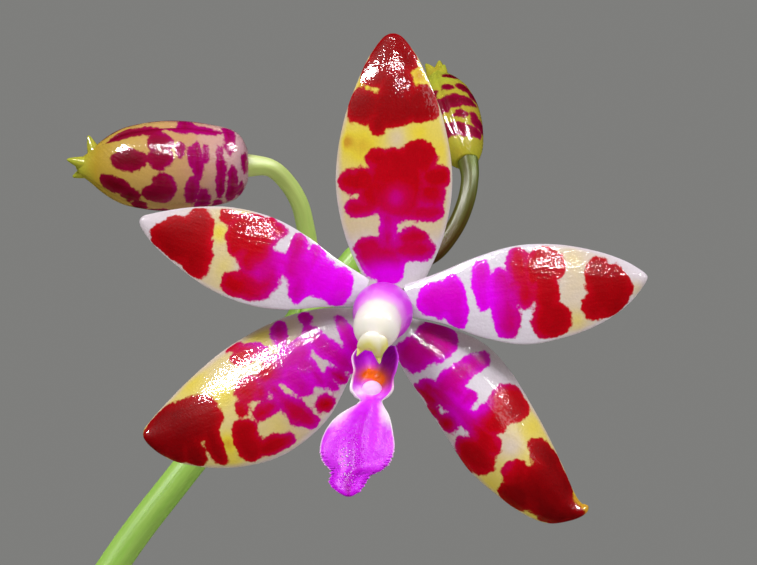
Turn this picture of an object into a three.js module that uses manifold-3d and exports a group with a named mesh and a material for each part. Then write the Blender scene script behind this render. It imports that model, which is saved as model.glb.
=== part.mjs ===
// A potted Phalaenopsis bastianii in flower: a clay pot of bark, a short stem with five leaves and aerial roots,
// and one arching flower spike with an open flower and two closed buds.
// Millimetres, +Z up, the origin at the centre of the pot's underside. The open flower faces -Y.

import * as THREE from "three";
import { mergeVertices } from "three/addons/utils/BufferGeometryUtils.js";
import Module from "manifold-3d";

const wasm = await Module();
wasm.setup();

const degree = Math.PI / 180;
const up = new THREE.Vector3(0, 0, 1);

// Driving dimensions
const gap = 0.3; // between pieces that rest on or grow out of each other
const pot = { height: 96, foot: 36, rim: 55, wall: 5, floor: 7, collar: 21, collarStep: 3, edge: 1.5 };
const drainRadius = 9; // the one hole in the middle of the pot's floor
const bark = { top: 83, chips: 42, length: 20, width: 14, thickness: 6, seed: 11 };
const stem = { foot: 62, top: 112, wide: 6.6, deep: 5.2 };
const flowerAt = new THREE.Vector3(108, -38, 272); // the middle of the column's foot
const hubRadius = 1.6; // where the sepals and petals meet
const sepalDepth = 1.95; // behind the column's foot
const petalDepth = 0.75;
const spikeRadius = { foot: 1.9, tip: 1.15 };
const rootRadius = 2.2;

// Smallest parts of a curve

// A smooth curve through [x, y] knots, as a function of x: cubic pieces whose slopes come from the knots beside them.
function through(knots) {
  const slope = (i) => {
    const a = knots[Math.max(i - 1, 0)];
    const b = knots[Math.min(i + 1, knots.length - 1)];
    return (b[1] - a[1]) / (b[0] - a[0]);
  };
  return (x) => {
    let i = 0;
    while (i < knots.length - 2 && x > knots[i + 1][0]) i += 1;
    const [x0, y0] = knots[i];
    const [x1, y1] = knots[i + 1];
    const h = x1 - x0;
    const t = THREE.MathUtils.clamp((x - x0) / h, 0, 1);
    const rise = t * t * (3 - 2 * t);
    return y0 + (y1 - y0) * rise + h * t * (1 - t) * ((1 - t) * slope(i) - t * slope(i + 1));
  };
}

const point = (p) => new THREE.Vector3(...p);
const curveThrough = (points) => new THREE.CatmullRomCurve3(points, false, "centripetal");

// A repeatable random number from 0 to 1
function randomFrom(seed) {
  let state = seed;
  return () => {
    state = (state * 1664525 + 1013904223) % 4294967296;
    return state / 4294967296;
  };
}

// Closed solids

function geometryFrom(points, faces) {
  const geometry = new THREE.BufferGeometry();
  geometry.setAttribute("position", new THREE.Float32BufferAttribute(points.flatMap((p) => p.toArray()), 3));
  geometry.setIndex(faces);
  return geometry;
}

// A leaf or petal: a grid of points surface(t, s), thickened along its normal. Both faces are split alike.
function blade(surface, thickness, rows, columns) {
  const step = 1e-3;
  const front = [];
  const back = [];
  for (let i = 0; i <= rows; i += 1) {
    for (let j = 0; j <= columns; j += 1) {
      const t = i / rows;
      const s = (2 * j) / columns - 1;
      const along = surface(Math.min(t + step, 1), s).sub(surface(Math.max(t - step, 0), s));
      const across = surface(t, Math.min(s + step, 1)).sub(surface(t, Math.max(s - step, -1)));
      const half = across.cross(along).setLength(thickness(t, s) / 2);
      front.push(surface(t, s).add(half));
      back.push(surface(t, s).sub(half));
    }
  }
  const faces = [];
  const quad = (a, b, c, d) => faces.push(a, b, c, a, c, d);
  const f = (i, j) => i * (columns + 1) + j;
  const b = (i, j) => front.length + f(i, j);
  for (let i = 0; i < rows; i += 1) {
    for (let j = 0; j < columns; j += 1) {
      quad(f(i, j), f(i, j + 1), f(i + 1, j + 1), f(i + 1, j));
      faces.push(b(i, j), b(i + 1, j + 1), b(i, j + 1), b(i, j), b(i + 1, j), b(i + 1, j + 1));
    }
    quad(f(i, 0), f(i + 1, 0), b(i + 1, 0), b(i, 0));
    quad(f(i, columns), b(i, columns), b(i + 1, columns), f(i + 1, columns));
  }
  for (let j = 0; j < columns; j += 1) {
    quad(f(0, j), b(0, j), b(0, j + 1), f(0, j + 1));
    quad(f(rows, j), f(rows, j + 1), b(rows, j + 1), b(rows, j));
  }
  return geometryFrom([...front, ...back], faces);
}

// A solid through closed rings of points, with a flat fan at each end. The rings run round the way they lead.
function ringed(rings) {
  const sides = rings[0].length;
  const points = rings.flat();
  const faces = [];
  const at = (i, j) => i * sides + (j % sides);
  for (let i = 0; i < rings.length - 1; i += 1) {
    for (let j = 0; j < sides; j += 1) {
      faces.push(at(i, j), at(i, j + 1), at(i + 1, j + 1), at(i, j), at(i + 1, j + 1), at(i + 1, j));
    }
  }
  for (const [i, turn] of [[0, 1], [rings.length - 1, 0]]) {
    const middle = points.length;
    points.push(rings[i].reduce((sum, p) => sum.add(p), new THREE.Vector3()).divideScalar(sides));
    for (let j = 0; j < sides; j += 1) faces.push(middle, at(i, j + turn), at(i, j + 1 - turn));
  }
  return geometryFrom(points, faces);
}

// A stalk along a curve: radiusAt(share of its length, angle) gives its outline.
function stalk(curve, radiusAt, steps, sides) {
  const frames = curve.computeFrenetFrames(steps);
  const rings = [];
  for (let i = 0; i <= steps; i += 1) {
    const middle = curve.getPointAt(i / steps);
    const ring = [];
    for (let j = 0; j < sides; j += 1) {
      const angle = (2 * Math.PI * j) / sides;
      const arm = frames.normals[i].clone().multiplyScalar(Math.cos(angle));
      arm.addScaledVector(frames.binormals[i], Math.sin(angle));
      ring.push(middle.clone().addScaledVector(arm, radiusAt(i / steps, angle)));
    }
    rings.push(ring);
  }
  return ringed(rings);
}

// Joins and cuts

function toSolid(geometry) {
  const bare = geometry.clone();
  bare.deleteAttribute("normal");
  bare.deleteAttribute("uv");
  const merged = mergeVertices(bare, 1e-4);
  const vertProperties = merged.attributes.position.array;
  return new wasm.Manifold(new wasm.Mesh({ numProp: 3, vertProperties, triVerts: new Uint32Array(merged.index.array) }));
}

function toGeometry(solid) {
  const mesh = solid.getMesh();
  const geometry = new THREE.BufferGeometry();
  geometry.setAttribute("position", new THREE.BufferAttribute(mesh.vertProperties, 3));
  geometry.setIndex(new THREE.BufferAttribute(mesh.triVerts, 1));
  return geometry;
}

const joined = (pieces) => pieces.map(toSolid).reduce((all, piece) => all.add(piece));
const largest = (solid) => solid.decompose().sort((a, b) => b.volume() - a.volume())[0]; // drops scraps a cut leaves
const cut = (geometry, tool) => toGeometry(largest(toSolid(geometry).subtract(toSolid(tool))));

// Materials

const finish = (color, roughness) => new THREE.MeshStandardMaterial({ color, roughness, metalness: 0 });
const terracotta = finish(0xb5643c, 0.9);
const barkBrown = finish(0x5b3a25, 0.95);
const leafGreen = finish(0x3f7a2c, 0.4);
const sheathGreen = finish(0x6f8a4a, 0.6);
const rootSilver = finish(0xb9bda6, 0.8);
const stalkGreen = finish(0x86b544, 0.5);
const barredRed = finish(0xb0122a, 0.35);
const columnWhite = finish(0xf3e4ea, 0.4);
const antherYellow = finish(0xf5f0b0, 0.5);
const lipMagenta = finish(0xc93bea, 0.5);

const plant = new THREE.Group();
const flower = new THREE.Group();
flower.position.copy(flowerAt);
plant.add(flower);

function place(name, geometry, material, parent = plant) {
  const mesh = new THREE.Mesh(geometry, material);
  mesh.name = name;
  parent.add(mesh);
}

// Pot: a plain clay pot with a collar and a drain hole in the middle of its floor

function lathe(profile, segments) {
  const points = profile.map(([r, z]) => new THREE.Vector2(r, z));
  return new THREE.LatheGeometry(points, segments).rotateX(Math.PI / 2);
}

const collarFoot = pot.height - pot.collar;
const outerAt = (z) => THREE.MathUtils.mapLinear(z, 0, pot.height, pot.foot, pot.rim - pot.collarStep);
const innerAt = (z) => outerAt(z) - pot.wall;

function potGeometry() {
  return lathe([
    [drainRadius, 0],
    [pot.foot - pot.edge, 0],
    [outerAt(pot.edge), pot.edge],
    [outerAt(collarFoot), collarFoot],
    [outerAt(collarFoot) + pot.collarStep, collarFoot + pot.edge],
    [pot.rim, pot.height - pot.edge],
    [pot.rim - pot.edge, pot.height],
    [innerAt(pot.height) + pot.edge, pot.height],
    [innerAt(pot.height), pot.height - pot.edge],
    [innerAt(pot.floor), pot.floor],
    [drainRadius, pot.floor],
    [drainRadius, 0],
  ], 36);
}

// Stem: short, flattened, ringed by old leaf bases

function stemGeometry(grow) {
  const radius = through([[0, 0.9], [0.35, 1.05], [0.6, 1], [0.85, 0.72], [1, 0.4]]);
  const rings = [];
  const steps = 12;
  const sides = 14;
  for (let i = 0; i <= steps; i += 1) {
    const t = i / steps;
    const size = radius(t) * (1 + 0.03 * (i % 2));
    const z = THREE.MathUtils.lerp(stem.foot - grow, stem.top + grow, t);
    const ring = [];
    for (let j = 0; j < sides; j += 1) {
      const angle = (2 * Math.PI * j) / sides;
      const wide = (stem.wide * size + grow) * Math.cos(angle);
      ring.push(new THREE.Vector3(wide, (stem.deep * size + grow) * Math.sin(angle), z));
    }
    rings.push(ring);
  }
  return ringed(rings);
}

// Leaves: two ranks, each a fleshy blade that leaves the stem folded and opens out as it arches over.
// side is +1 or -1 along X, rise and fall the slope of the midrib at its two ends, turn its heading, roll its tilt.

const leaves = [
  { side: 1, z: 88, length: 148, width: 56, rise: 24, fall: -36, turn: -15, roll: 0.1 },
  { side: -1, z: 90, length: 160, width: 60, rise: 27, fall: -38, turn: -10, roll: -0.12 },
  { side: 1, z: 97, length: 163.3, width: 60, rise: 47, fall: -24, turn: 8, roll: -0.06 },
  { side: -1, z: 100, length: 146, width: 57, rise: 52, fall: -16, turn: 10, roll: 0.08 },
  { side: 1, z: 107, length: 84, width: 34, rise: 68, fall: 22, turn: 20, roll: 0.04 },
];
const leafHalf = through([[0, 0.34], [0.1, 0.37], [0.25, 0.6], [0.45, 0.9], [0.62, 1], [0.8, 0.9], [0.92, 0.6], [1, 0.1]]);

function leafGeometry({ side, z, length, width, rise, fall, turn, roll }) {
  const start = rise * degree;
  const sweep = (fall - rise) * degree;
  const out = new THREE.Vector3(side, 0, 0).applyAxisAngle(up, turn * degree);
  const beside = new THREE.Vector3().crossVectors(up, out);
  const surface = (t, s) => {
    const slope = start + sweep * t;
    const reach = (length * (Math.sin(slope) - Math.sin(start))) / sweep;
    const climb = (length * (Math.cos(start) - Math.cos(slope))) / sweep;
    const half = (width / 2) * leafHalf(t);
    const fold = (9 + 41 * (1 - t) ** 2.2) * degree;
    const valley = Math.sqrt(s * s + 0.012) - 0.11;
    const raised = half * (valley * Math.sin(fold) - 0.1 * t * s * s + roll * s * t);
    const back = slope * THREE.MathUtils.smoothstep(t, 0, 0.2); // the sheath's flanks stand upright beside the stem
    return new THREE.Vector3(0, 0, z + climb + raised * Math.cos(back))
      .addScaledVector(out, 0.8 + reach - raised * Math.sin(back))
      .addScaledVector(beside, s * half * Math.cos(fold));
  };
  const thickness = (t, s) => (2.6 - 1.2 * s * s) * (1 - 0.35 * t);
  return cut(cut(blade(surface, thickness, 15, 6), stemGeometry(gap)), spikeStalk(gap));
}

// Aerial roots: they leave the stem's foot; two climb over the rim and hang outside, three enter the bark

const roots = {
  root_over_rim_left: [[-4, -3, 86], [-17, -15, 96], [-30, -26, 102], [-42, -37, 99], [-48, -42, 84], [-50, -43, 62], [-46, -41, 40]],
  root_over_rim_back: [[3, 3, 84], [16, 20, 95], [26, 35, 102], [35, 47, 98], [39, 52, 82], [38, 53, 64]],
  root_front: [[3, -4, 84], [10, -17, 92], [17, -27, 90], [21, -31, 82], [22, -32, 72]],
  root_back: [[-1, 4, 84], [-3, 17, 91], [-8, 28, 90], [-11, 34, 82], [-12, 35, 72]],
  root_left: [[-5, 1, 80], [-17, 7, 90], [-28, 13, 89], [-33, 16, 82], [-34, 17, 72]],
};

function rootGeometry(points, grow) {
  const curve = curveThrough(points.map(point));
  const radius = (t) => rootRadius * (1 - 0.25 * t ** 6) + grow;
  return stalk(curve, radius, 16, 7);
}

// Bark: loose chips on a bed that fills the pot, cut clear of the pot, the stem and the roots

function barkGeometry() {
  const random = randomFrom(bark.seed);
  const centred = (size) => (random() - 0.5) * size;
  const pieces = [lathe([[0, pot.floor + gap], [innerAt(pot.floor) - 1, pot.floor + gap], [innerAt(bark.top) - 1, bark.top], [0, bark.top]], 24)];
  for (let i = 0; i < bark.chips; i += 1) {
    const chip = new THREE.BoxGeometry(
      bark.length * (0.7 + 0.6 * random()),
      bark.width * (0.7 + 0.6 * random()),
      bark.thickness * (0.7 + 0.6 * random()),
    );
    chip.rotateX(centred(1.1)).rotateY(centred(1.1)).rotateZ(centred(6.2));
    const away = (innerAt(bark.top) - 7) * Math.sqrt((i + 0.5) / bark.chips);
    const angle = i * 2.39996; // the golden angle spreads the chips evenly
    chip.translate(away * Math.cos(angle), away * Math.sin(angle), bark.top + centred(3));
    pieces.push(chip);
  }
  const inside = lathe([
    [0, pot.floor + gap],
    [innerAt(pot.floor) - gap, pot.floor + gap],
    [innerAt(pot.height) - gap, pot.height],
    [0, pot.height],
  ], 36);
  let solid = joined(pieces).intersect(toSolid(inside)).subtract(toSolid(stemGeometry(gap)));
  for (const path of Object.values(roots)) solid = solid.subtract(toSolid(rootGeometry(path, gap)));
  return toGeometry(largest(solid));
}

// Flower spike, in the flower's own frame near the flower: X right, Y away from its face, Z up

const rachis = [[-22.45, 16, -21.19], [-17.07, 16, -14.02], [-10.66, 16.4, -6.1], [-4.9, 15.8, 1.1], [-1.6, 16.2, 5.1]];
const nodes = rachis.slice(2).map(point); // the open flower's, the left bud's and the right bud's
const spikeCurve = curveThrough([
  ...[[3, -3, 92], [9, -12, 104], [20, -17, 131], [36, -21, 165], [56, -23, 202]].map(point),
  ...rachis.map((p) => point(p).add(flowerAt)),
]);
const spikeJoints = [0.28, 0.6]; // sterile joints with a sheathing bract, as shares of the spike's length

// The share of the spike's length at which it passes a point
function shareAt(target) {
  const shares = Array.from({ length: 601 }, (_, i) => i / 600);
  const far = (share) => spikeCurve.getPointAt(share).distanceTo(target);
  return shares.reduce((best, share) => (far(share) < far(best) ? share : best));
}

function spikeStalk(grow) {
  const swelling = (t) => spikeJoints.reduce((sum, at) => sum + 0.4 * Math.exp(-(((t - at) / 0.012) ** 2)), 0);
  const radius = (t) => THREE.MathUtils.lerp(spikeRadius.foot, spikeRadius.tip, t) + swelling(t) + grow;
  return stalk(spikeCurve, radius, 56, 8);
}

const bractSides = [[1, 0, -0.5], [-1, 0, 1], [1, 0, -1]]; // each under the pedicel of its joint

// A bract: a small pointed scale whose foot clasps the spike at a share t of its length
function bract(share, length, width, heading) {
  const foot = spikeCurve.getPointAt(share);
  const along = spikeCurve.getTangentAt(share);
  const away = point(heading).projectOnPlane(along).normalize();
  const beside = new THREE.Vector3().crossVectors(along, away);
  const radius = THREE.MathUtils.lerp(spikeRadius.foot, spikeRadius.tip, share);
  const surface = (t, s) => {
    const lift = 0.1 + 0.16 * length * t * t;
    const out = radius + lift;
    const angle = (s * (width * (1 - t ** 1.7) + 0.3)) / (2 * out);
    return foot.clone().addScaledVector(along, length * t)
      .addScaledVector(away, out * Math.cos(angle))
      .addScaledVector(beside, out * Math.sin(angle));
  };
  return blade(surface, () => 0.6, 4, 4);
}

function spikeGeometry() {
  const whole = joined([
    spikeStalk(0),
    bract(spikeJoints[0], 10, 6, [0, 0, 1]),
    bract(spikeJoints[1], 8, 5, [1, 0, -1]),
    ...nodes.map((node, i) => bract(shareAt(node.clone().add(flowerAt)) - 0.017, 3.6, 3.2, bractSides[i])),
  ]);
  return toGeometry(largest(whole.subtract(toSolid(stemGeometry(gap)))));
}

// Pedicels: each leaves the spike at a joint. The open flower's swells into the ovary and ends in the hub.

// horns: where the three free tips end
const budLeft = {
  foot: point([-11.2, 10, 12]), tip: point([-25.1, 8, 11.8]), radius: 3.65, turn: 0.5,
  horns: [[-24.1, 8.4, 14.4], [-25.8, 7.4, 12.4], [-25.4, 8.6, 11]],
};
const budRight = {
  foot: point([7.1, 22, 12.6]), tip: point([4.5, 28.6, 20.6]), radius: 2.45, turn: 1.3,
  horns: [[3.7, 28.9, 21.2], [4.9, 29.6, 21.5], [5.3, 28.4, 21.1]],
};

function pedicelGeometry(points, radius, steps = 14) {
  const tube = stalk(curveThrough(points.map(point)), radius, steps, 9);
  tube.translate(...flowerAt.toArray());
  return cut(tube, spikeStalk(gap));
}

const flowerPedicel = [nodes[0].toArray(), [-7.6, 17.4, -5.2], [-3.2, 15.6, -2.3], [-0.6, 11, -0.4], [0, 7, 0], [0, 0.1, 0]];
const ovaryRadius = through([[0, 0.8], [0.45, 0.85], [0.62, 1.15], [0.8, 1.35], [0.9, hubRadius], [1, hubRadius]]);
const leftPedicel = [nodes[1].toArray(), [-5.9, 15, 4.1], [-6.4, 14, 6.9], [-6.9, 13, 8.9], [-7.9, 12, 10.6], [-9.3, 10.8, 11.8], [-10.9, 10.05, 12]];
const rightPedicel = [nodes[2].toArray(), [1.4, 17.8, 4], [4.1, 19, 4.7], [6, 19.8, 6.9], [7, 20.3, 9.2], [7.35, 21.1, 11.2], [7.32, 21.75, 12.3]];

// Buds: three sepals closed into one ovoid, seamed between them, each ending in a free horn

const budHalf = through([[0, 0.36], [0.07, 0.72], [0.19, 0.91], [0.4, 1], [0.58, 0.98], [0.74, 0.86], [0.86, 0.63], [0.94, 0.4], [1, 0.14]]);

function budGeometry({ foot, tip, radius, turn, horns }) {
  const middle = curveThrough([foot, foot.clone().lerp(tip, 0.5), tip]);
  const outline = (t, angle) => radius * budHalf(t) * (1 + 0.03 * Math.cos(3 * (angle - turn)));
  const body = stalk(middle, outline, 12, 15);
  const tips = horns.map((end) => {
    const root = foot.clone().lerp(tip, 0.86).lerp(point(end), 0.2);
    return stalk(curveThrough([root, root.clone().lerp(point(end), 0.5), point(end)]), (t) => 0.62 - 0.4 * t, 3, 6);
  });
  return toGeometry(joined([body, ...tips])).translate(...flowerAt.toArray());
}

// Sepals and petals, in the flower's frame. foot and tip are [X, Z]. Each edge row is [share of the length, how far
// the edge on the upper side lies from the line between foot and tip, how far the one on the lower side does].
// depth is the midline's place behind the column's foot, camber how far the edges fall back, roll the tilt.

const tepals = {
  dorsal_sepal: {
    foot: [0.95, 1.9], tip: [0.8, 22.4], camber: 0.9, roll: 0,
    edges: [[0, 2.1, 2.1], [0.2, 3.9, 3.9], [0.42, 4.66, 4.66], [0.66, 3.96, 3.96], [0.88, 2.2, 2.2], [0.96, 1.15, 1.15], [1, 0.4, 0.4]],
    depth: [[0, sepalDepth], [0.5, 0.9], [1, 3]],
  },
  petal_left: {
    foot: [-1.38, 1.74], tip: [-19.55, 7.2], camber: 0.8, roll: 0.04,
    edges: [[0, 0.9, 1.3], [0.16, 1.75, 2.3], [0.3, 2.75, 3.3], [0.46, 3.4, 3.8], [0.64, 3.25, 3.45], [0.8, 2.35, 2.4], [0.92, 1.3, 1.3], [1, 0.45, 0.1]],
    depth: [[0, petalDepth], [0.5, -0.3], [1, 0.6]],
  },
  petal_right: {
    foot: [1.8, 1.23], tip: [21.2, 2.8], camber: 0.9, roll: 0.04,
    edges: [[0, 0.9, 1.5], [0.15, 1.7, 2.4], [0.3, 2.65, 3.7], [0.47, 3.32, 4.55], [0.64, 3.15, 4.25], [0.8, 2.35, 3.3], [0.92, 1.3, 1.85], [1, 0.15, 0.15]],
    depth: [[0, petalDepth], [0.5, -0.5], [1, 0.2]],
  },
  lateral_sepal_left: {
    foot: [-1.08, -2.25], tip: [-19.36, -9.92], camber: 1.3, roll: 0.18,
    edges: [[0, 2.7, 0.9], [0.12, 3.7, 2], [0.28, 4.25, 4.5], [0.46, 4.05, 5.7], [0.6, 3.5, 5.7], [0.76, 2.4, 4.8], [0.9, 1.2, 3.2], [0.96, 0.6, 1.9], [1, 0.1, 0.3]],
    depth: [[0, sepalDepth], [0.35, 1.2], [0.7, 1.4], [1, 3.2]],
  },
  lateral_sepal_right: {
    foot: [1.23, -1.53], tip: [16.72, -15.84], camber: 1.8, roll: 0.15,
    edges: [[0, 1.3, 1.2], [0.14, 2.9, 2.1], [0.28, 3.85, 2.85], [0.42, 3.65, 3.6], [0.56, 2.85, 4.3], [0.7, 1.85, 4.25], [0.83, 0.75, 3.9], [0.92, -0.1, 3.1], [0.97, -0.3, 1.8], [1, 0.1, 0.35]],
    depth: [[0, sepalDepth], [0.35, 1.3], [0.7, 2], [1, 4.2]],
  },
};

function tepalGeometry({ foot, tip, camber, roll, edges, depth }) {
  const axis = new THREE.Vector2(tip[0] - foot[0], tip[1] - foot[1]);
  const length = axis.length();
  axis.normalize();
  const normal = new THREE.Vector2(-axis.y, axis.x);
  if (normal.y < 0 || (normal.y < 1e-2 && normal.x < 0)) normal.negate();
  const upper = through(edges.map(([t, a]) => [t, a]));
  const lower = through(edges.map(([t, , b]) => [t, b]));
  const depthAt = through(depth);
  const widest = Math.max(...edges.map(([, a, b]) => (a + b) / 2));
  const surface = (t, s) => {
    const half = (upper(t) + lower(t)) / 2;
    const away = (upper(t) - lower(t)) / 2 + s * half;
    const back = depthAt(t) + (camber * s * s * half) / widest + roll * away * Math.min(1, 4 * t);
    return new THREE.Vector3(
      foot[0] + axis.x * length * t + normal.x * away,
      back,
      foot[1] + axis.y * length * t + normal.y * away,
    );
  };
  return blade(surface, (t, s) => 0.9 - 0.3 * s * s, 16, 8);
}

// Column: it leans forward and down from the flower's middle, its back towards the viewer

const columnCurve = curveThrough([[0, -0.2, 0], [-0.1, -1.8, -0.1], [-0.3, -3.4, -0.5], [-0.5, -5, -1.1], [-0.62, -6.7, -1.9]].map(point));
const columnRadius = through([[0, 2.4], [0.16, 2.3], [0.36, 2], [0.6, 1.95], [0.78, 1.9], [0.9, 1.55], [1, 0.8]]);
const columnGeometry = (grow) => stalk(columnCurve, (t) => columnRadius(t) + grow, 10, 14);

// Anther cap: a beaked plate on the column's tip with two pointed teeth
function antherCapGeometry() {
  const reach = through([[-1, 1.9], [-0.75, 1.5], [-0.1, 1.15], [0.5, 1.9], [0.8, 2.35], [1, 1.2]]);
  const surface = (t, s) => {
    const down = t * reach(s);
    return new THREE.Vector3(-1.02 + 1.2 * s, -6.75 + 0.5 * down + 0.45 * s * s, -1.75 - down);
  };
  return cut(blade(surface, (t) => 1.9 - 1.2 * t, 4, 10), columnGeometry(gap));
}

// Lip: one sheet, a trough between two raised side lobes, then a waist and a spreading, toothed middle lobe.
// Each row is [Z, X of the midline, half width, Y of the midline, how far the edges stand forward].

const lipRows = [
  [-2.75, -0.5, 1.5, -1.1, 0.9],
  [-3.5, -0.62, 1.82, -1.7, 2.2],
  [-4.6, -0.64, 1.65, -2.4, 2.2],
  [-5.2, -0.82, 1.62, -2.8, 1.7],
  [-6.1, -0.9, 1.68, -3.5, 1.3],
  [-6.6, -0.9, 1.35, -3.9, 0.7],
  [-7, -1.1, 1.04, -4.2, 0.1],
  [-8.3, -1.66, 1.94, -4.9, -0.5],
  [-9.8, -2.08, 2.72, -5.7, -0.8],
  [-11.1, -2.14, 2.98, -6.4, -0.9],
  [-12.4, -2.2, 2.2, -7.1, -0.7],
  [-13.4, -2.7, 1.35, -7.6, -0.4],
  [-14.4, -3, 0.3, -8, 0],
];
const [lipMiddle, lipHalf, lipDepth, lipLift] = [1, 2, 3, 4].map((k) => through(lipRows.map((r) => [-r[0], r[k]])));
const callus = [[-1.42, -5.25, 0.62], [-0.26, -5.4, 0.62], [-0.88, -6.15, 0.75]]; // X, Z and radius of each swelling

function lipGeometry() {
  const teeth = (drop, t) => (drop > 10 && drop < 14.2 ? 0.14 * Math.sin(t * 150) : 0);
  const surface = (t, s) => {
    const drop = THREE.MathUtils.lerp(-lipRows[0][0], -lipRows.at(-1)[0], t);
    const across = (lipHalf(drop) + teeth(drop, t)) * s;
    const ridge = drop > 7 ? 0.35 * Math.exp(-((s / 0.25) ** 2)) * Math.sin(Math.min(1, (drop - 7) / 6) * Math.PI) : 0;
    return new THREE.Vector3(lipMiddle(drop) + across, lipDepth(drop) - lipLift(drop) * Math.abs(s) ** 2.4 - ridge, -drop);
  };
  const sheet = blade(surface, () => 0.6, 30, 8);
  const swellings = callus.map(([x, z, r]) => new THREE.SphereGeometry(r, 8, 6).translate(x, lipDepth(-z) - 0.35, z));
  return cut(toGeometry(joined([sheet, ...swellings])), columnGeometry(gap));
}

// The whole plant

place("pot", potGeometry(), terracotta);
place("bark", barkGeometry(), barkBrown);
place("stem", stemGeometry(0), sheathGreen);
leaves.forEach((leaf, i) => place(`leaf_${i + 1}`, leafGeometry(leaf), leafGreen));
for (const [name, path] of Object.entries(roots)) {
  place(name, cut(rootGeometry(path, 0), stemGeometry(gap)), rootSilver);
}
place("flower_spike", spikeGeometry(), stalkGreen);
place("pedicel_flower", pedicelGeometry(flowerPedicel, ovaryRadius, 18), stalkGreen);
place("pedicel_bud_left", pedicelGeometry(leftPedicel, () => 0.75), stalkGreen);
place("pedicel_bud_right", pedicelGeometry(rightPedicel, () => 0.75), stalkGreen);
place("bud_left", budGeometry(budLeft), barredRed);
place("bud_right", budGeometry(budRight), barredRed);
for (const [name, tepal] of Object.entries(tepals)) place(name, tepalGeometry(tepal), barredRed, flower);
place("column", columnGeometry(0), columnWhite, flower);
place("anther_cap", antherCapGeometry(), antherYellow, flower);
place("lip", lipGeometry(), lipMagenta, flower);

export default plant;
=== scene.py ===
import bpy
import numpy as np
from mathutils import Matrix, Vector


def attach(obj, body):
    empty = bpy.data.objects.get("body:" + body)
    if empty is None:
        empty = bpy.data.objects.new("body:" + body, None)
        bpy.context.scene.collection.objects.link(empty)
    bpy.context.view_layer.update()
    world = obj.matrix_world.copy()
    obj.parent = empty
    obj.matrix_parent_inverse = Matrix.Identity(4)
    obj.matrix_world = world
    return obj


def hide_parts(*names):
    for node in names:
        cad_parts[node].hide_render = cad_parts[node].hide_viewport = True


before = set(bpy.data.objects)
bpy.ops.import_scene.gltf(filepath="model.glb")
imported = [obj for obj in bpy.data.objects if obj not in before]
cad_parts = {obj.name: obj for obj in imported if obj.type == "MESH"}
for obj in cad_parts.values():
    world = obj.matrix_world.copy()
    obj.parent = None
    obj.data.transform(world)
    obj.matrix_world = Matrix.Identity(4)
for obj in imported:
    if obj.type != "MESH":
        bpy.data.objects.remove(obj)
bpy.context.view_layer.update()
print("solids loaded:", len(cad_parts))

metre = 1000  # millimetres
far = 9.0  # millimetres: further than any patch of colour reaches
flowerAt = np.array([108, -38, 272])  # the middle of the column's foot; the flower faces -Y


# Camera, floor and light

view = {
    "offset": [-0.36, -380, 2.36],  # from the flower's middle, level and square to its face
    "lens": 225.9,
    "floorRadius": 3000,
    "world": "#C9C9C6",
    "worldStrength": 0.36,
    "glossBeam": 0.5,  # the gloss lamps' beams, in radians, reach the flower and not the leaves
    "floor": "#EAE8E2",
}
lamps = {  # name: place and target (mm), width and height (mm), power (W), what it lights
    "keyBox": [flowerAt + [-250, -330, 430], flowerAt, [180, 110], 2.6, "tint"],
    "edgeBox": [flowerAt + [450, -190, 330], flowerAt, [150, 150], 0.9, "tint"],
    "topBox": [flowerAt + [60, -460, 370], flowerAt, [150, 100], 0.5, "tint"],
    "sideBox": [[750, -600, 700], [0, 0, 150], [500, 500], 2.0, "all"],
    "backBox": [[-500, 900, 900], [0, 0, 150], [600, 400], 5.0, "tint"],
    "leftGloss": [flowerAt + [-298, -343, 394], flowerAt, [220, 110], 0.6, "gloss"],
    "topGloss": [flowerAt + [37, -423, 424], flowerAt, [150, 40], 0.07, "gloss"],
    "tipGloss": [flowerAt + [83, -523, 282], flowerAt, [90, 30], 0.035, "gloss"],
    "rightGloss": [flowerAt + [432, -157, 386], flowerAt, [150, 200], 0.3, "gloss"],
}


def sRgb(code):
    # the standard curve: a straight foot, then the power 2.4
    value = np.array([int(code[i : i + 2], 16) / 255 for i in (1, 3, 5)])
    linear = np.where(value <= 0.04045, value / 12.92, ((value + 0.055) / 1.055) ** 2.4)
    return (*linear, 1.0)


def setInput(tree, node, key, value):
    # links a node or a socket to the input, or sets it to a number, a vector or a colour's code
    if isinstance(value, bpy.types.Node):
        value = value.outputs[0]
    if isinstance(value, bpy.types.NodeSocket):
        tree.links.new(value, node.inputs[key])
    else:
        node.inputs[key].default_value = sRgb(value) if isinstance(value, str) else value


def addNode(tree, kind, inputs, **settings):
    # adds one shader node with its settings, and links or sets its inputs by name or number
    node = tree.nodes.new("ShaderNode" + kind)
    for key, value in settings.items():
        setattr(node, key, value)
    for key, value in inputs.items():
        setInput(tree, node, key, value)
    return node


def ramp(tree, tone, codes):
    # the tone turned into a colour, between codes that each have a place
    node = addNode(tree, "ValToRGB", {0: tone})
    stops = node.color_ramp.elements
    places = list(codes)
    stops[0].position, stops[1].position = places[0], places[-1]
    stops[0].color, stops[1].color = sRgb(codes[places[0]]), sRgb(codes[places[-1]])
    for place in places[1:-1]:
        stops.new(place).color = sRgb(codes[place])
    return node.outputs[0]


def scaled(tree, value, factor, shift=0.0):
    # value times factor plus shift, each a number or a node
    return addNode(tree, "Math", {0: value, 1: factor, 2: shift}, operation="MULTIPLY_ADD")


def mapped(tree, value, low, high, first=0.0, last=1.0, **settings):
    # the span from low to high turned into the span from first to last
    return addNode(tree, "MapRange", {0: value, 1: low, 2: high, 3: first, 4: last}, **settings)


def blend(tree, share, first, second):
    return addNode(tree, "Mix", {0: share, 6: first, 7: second}, data_type="RGBA").outputs[2]


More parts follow.
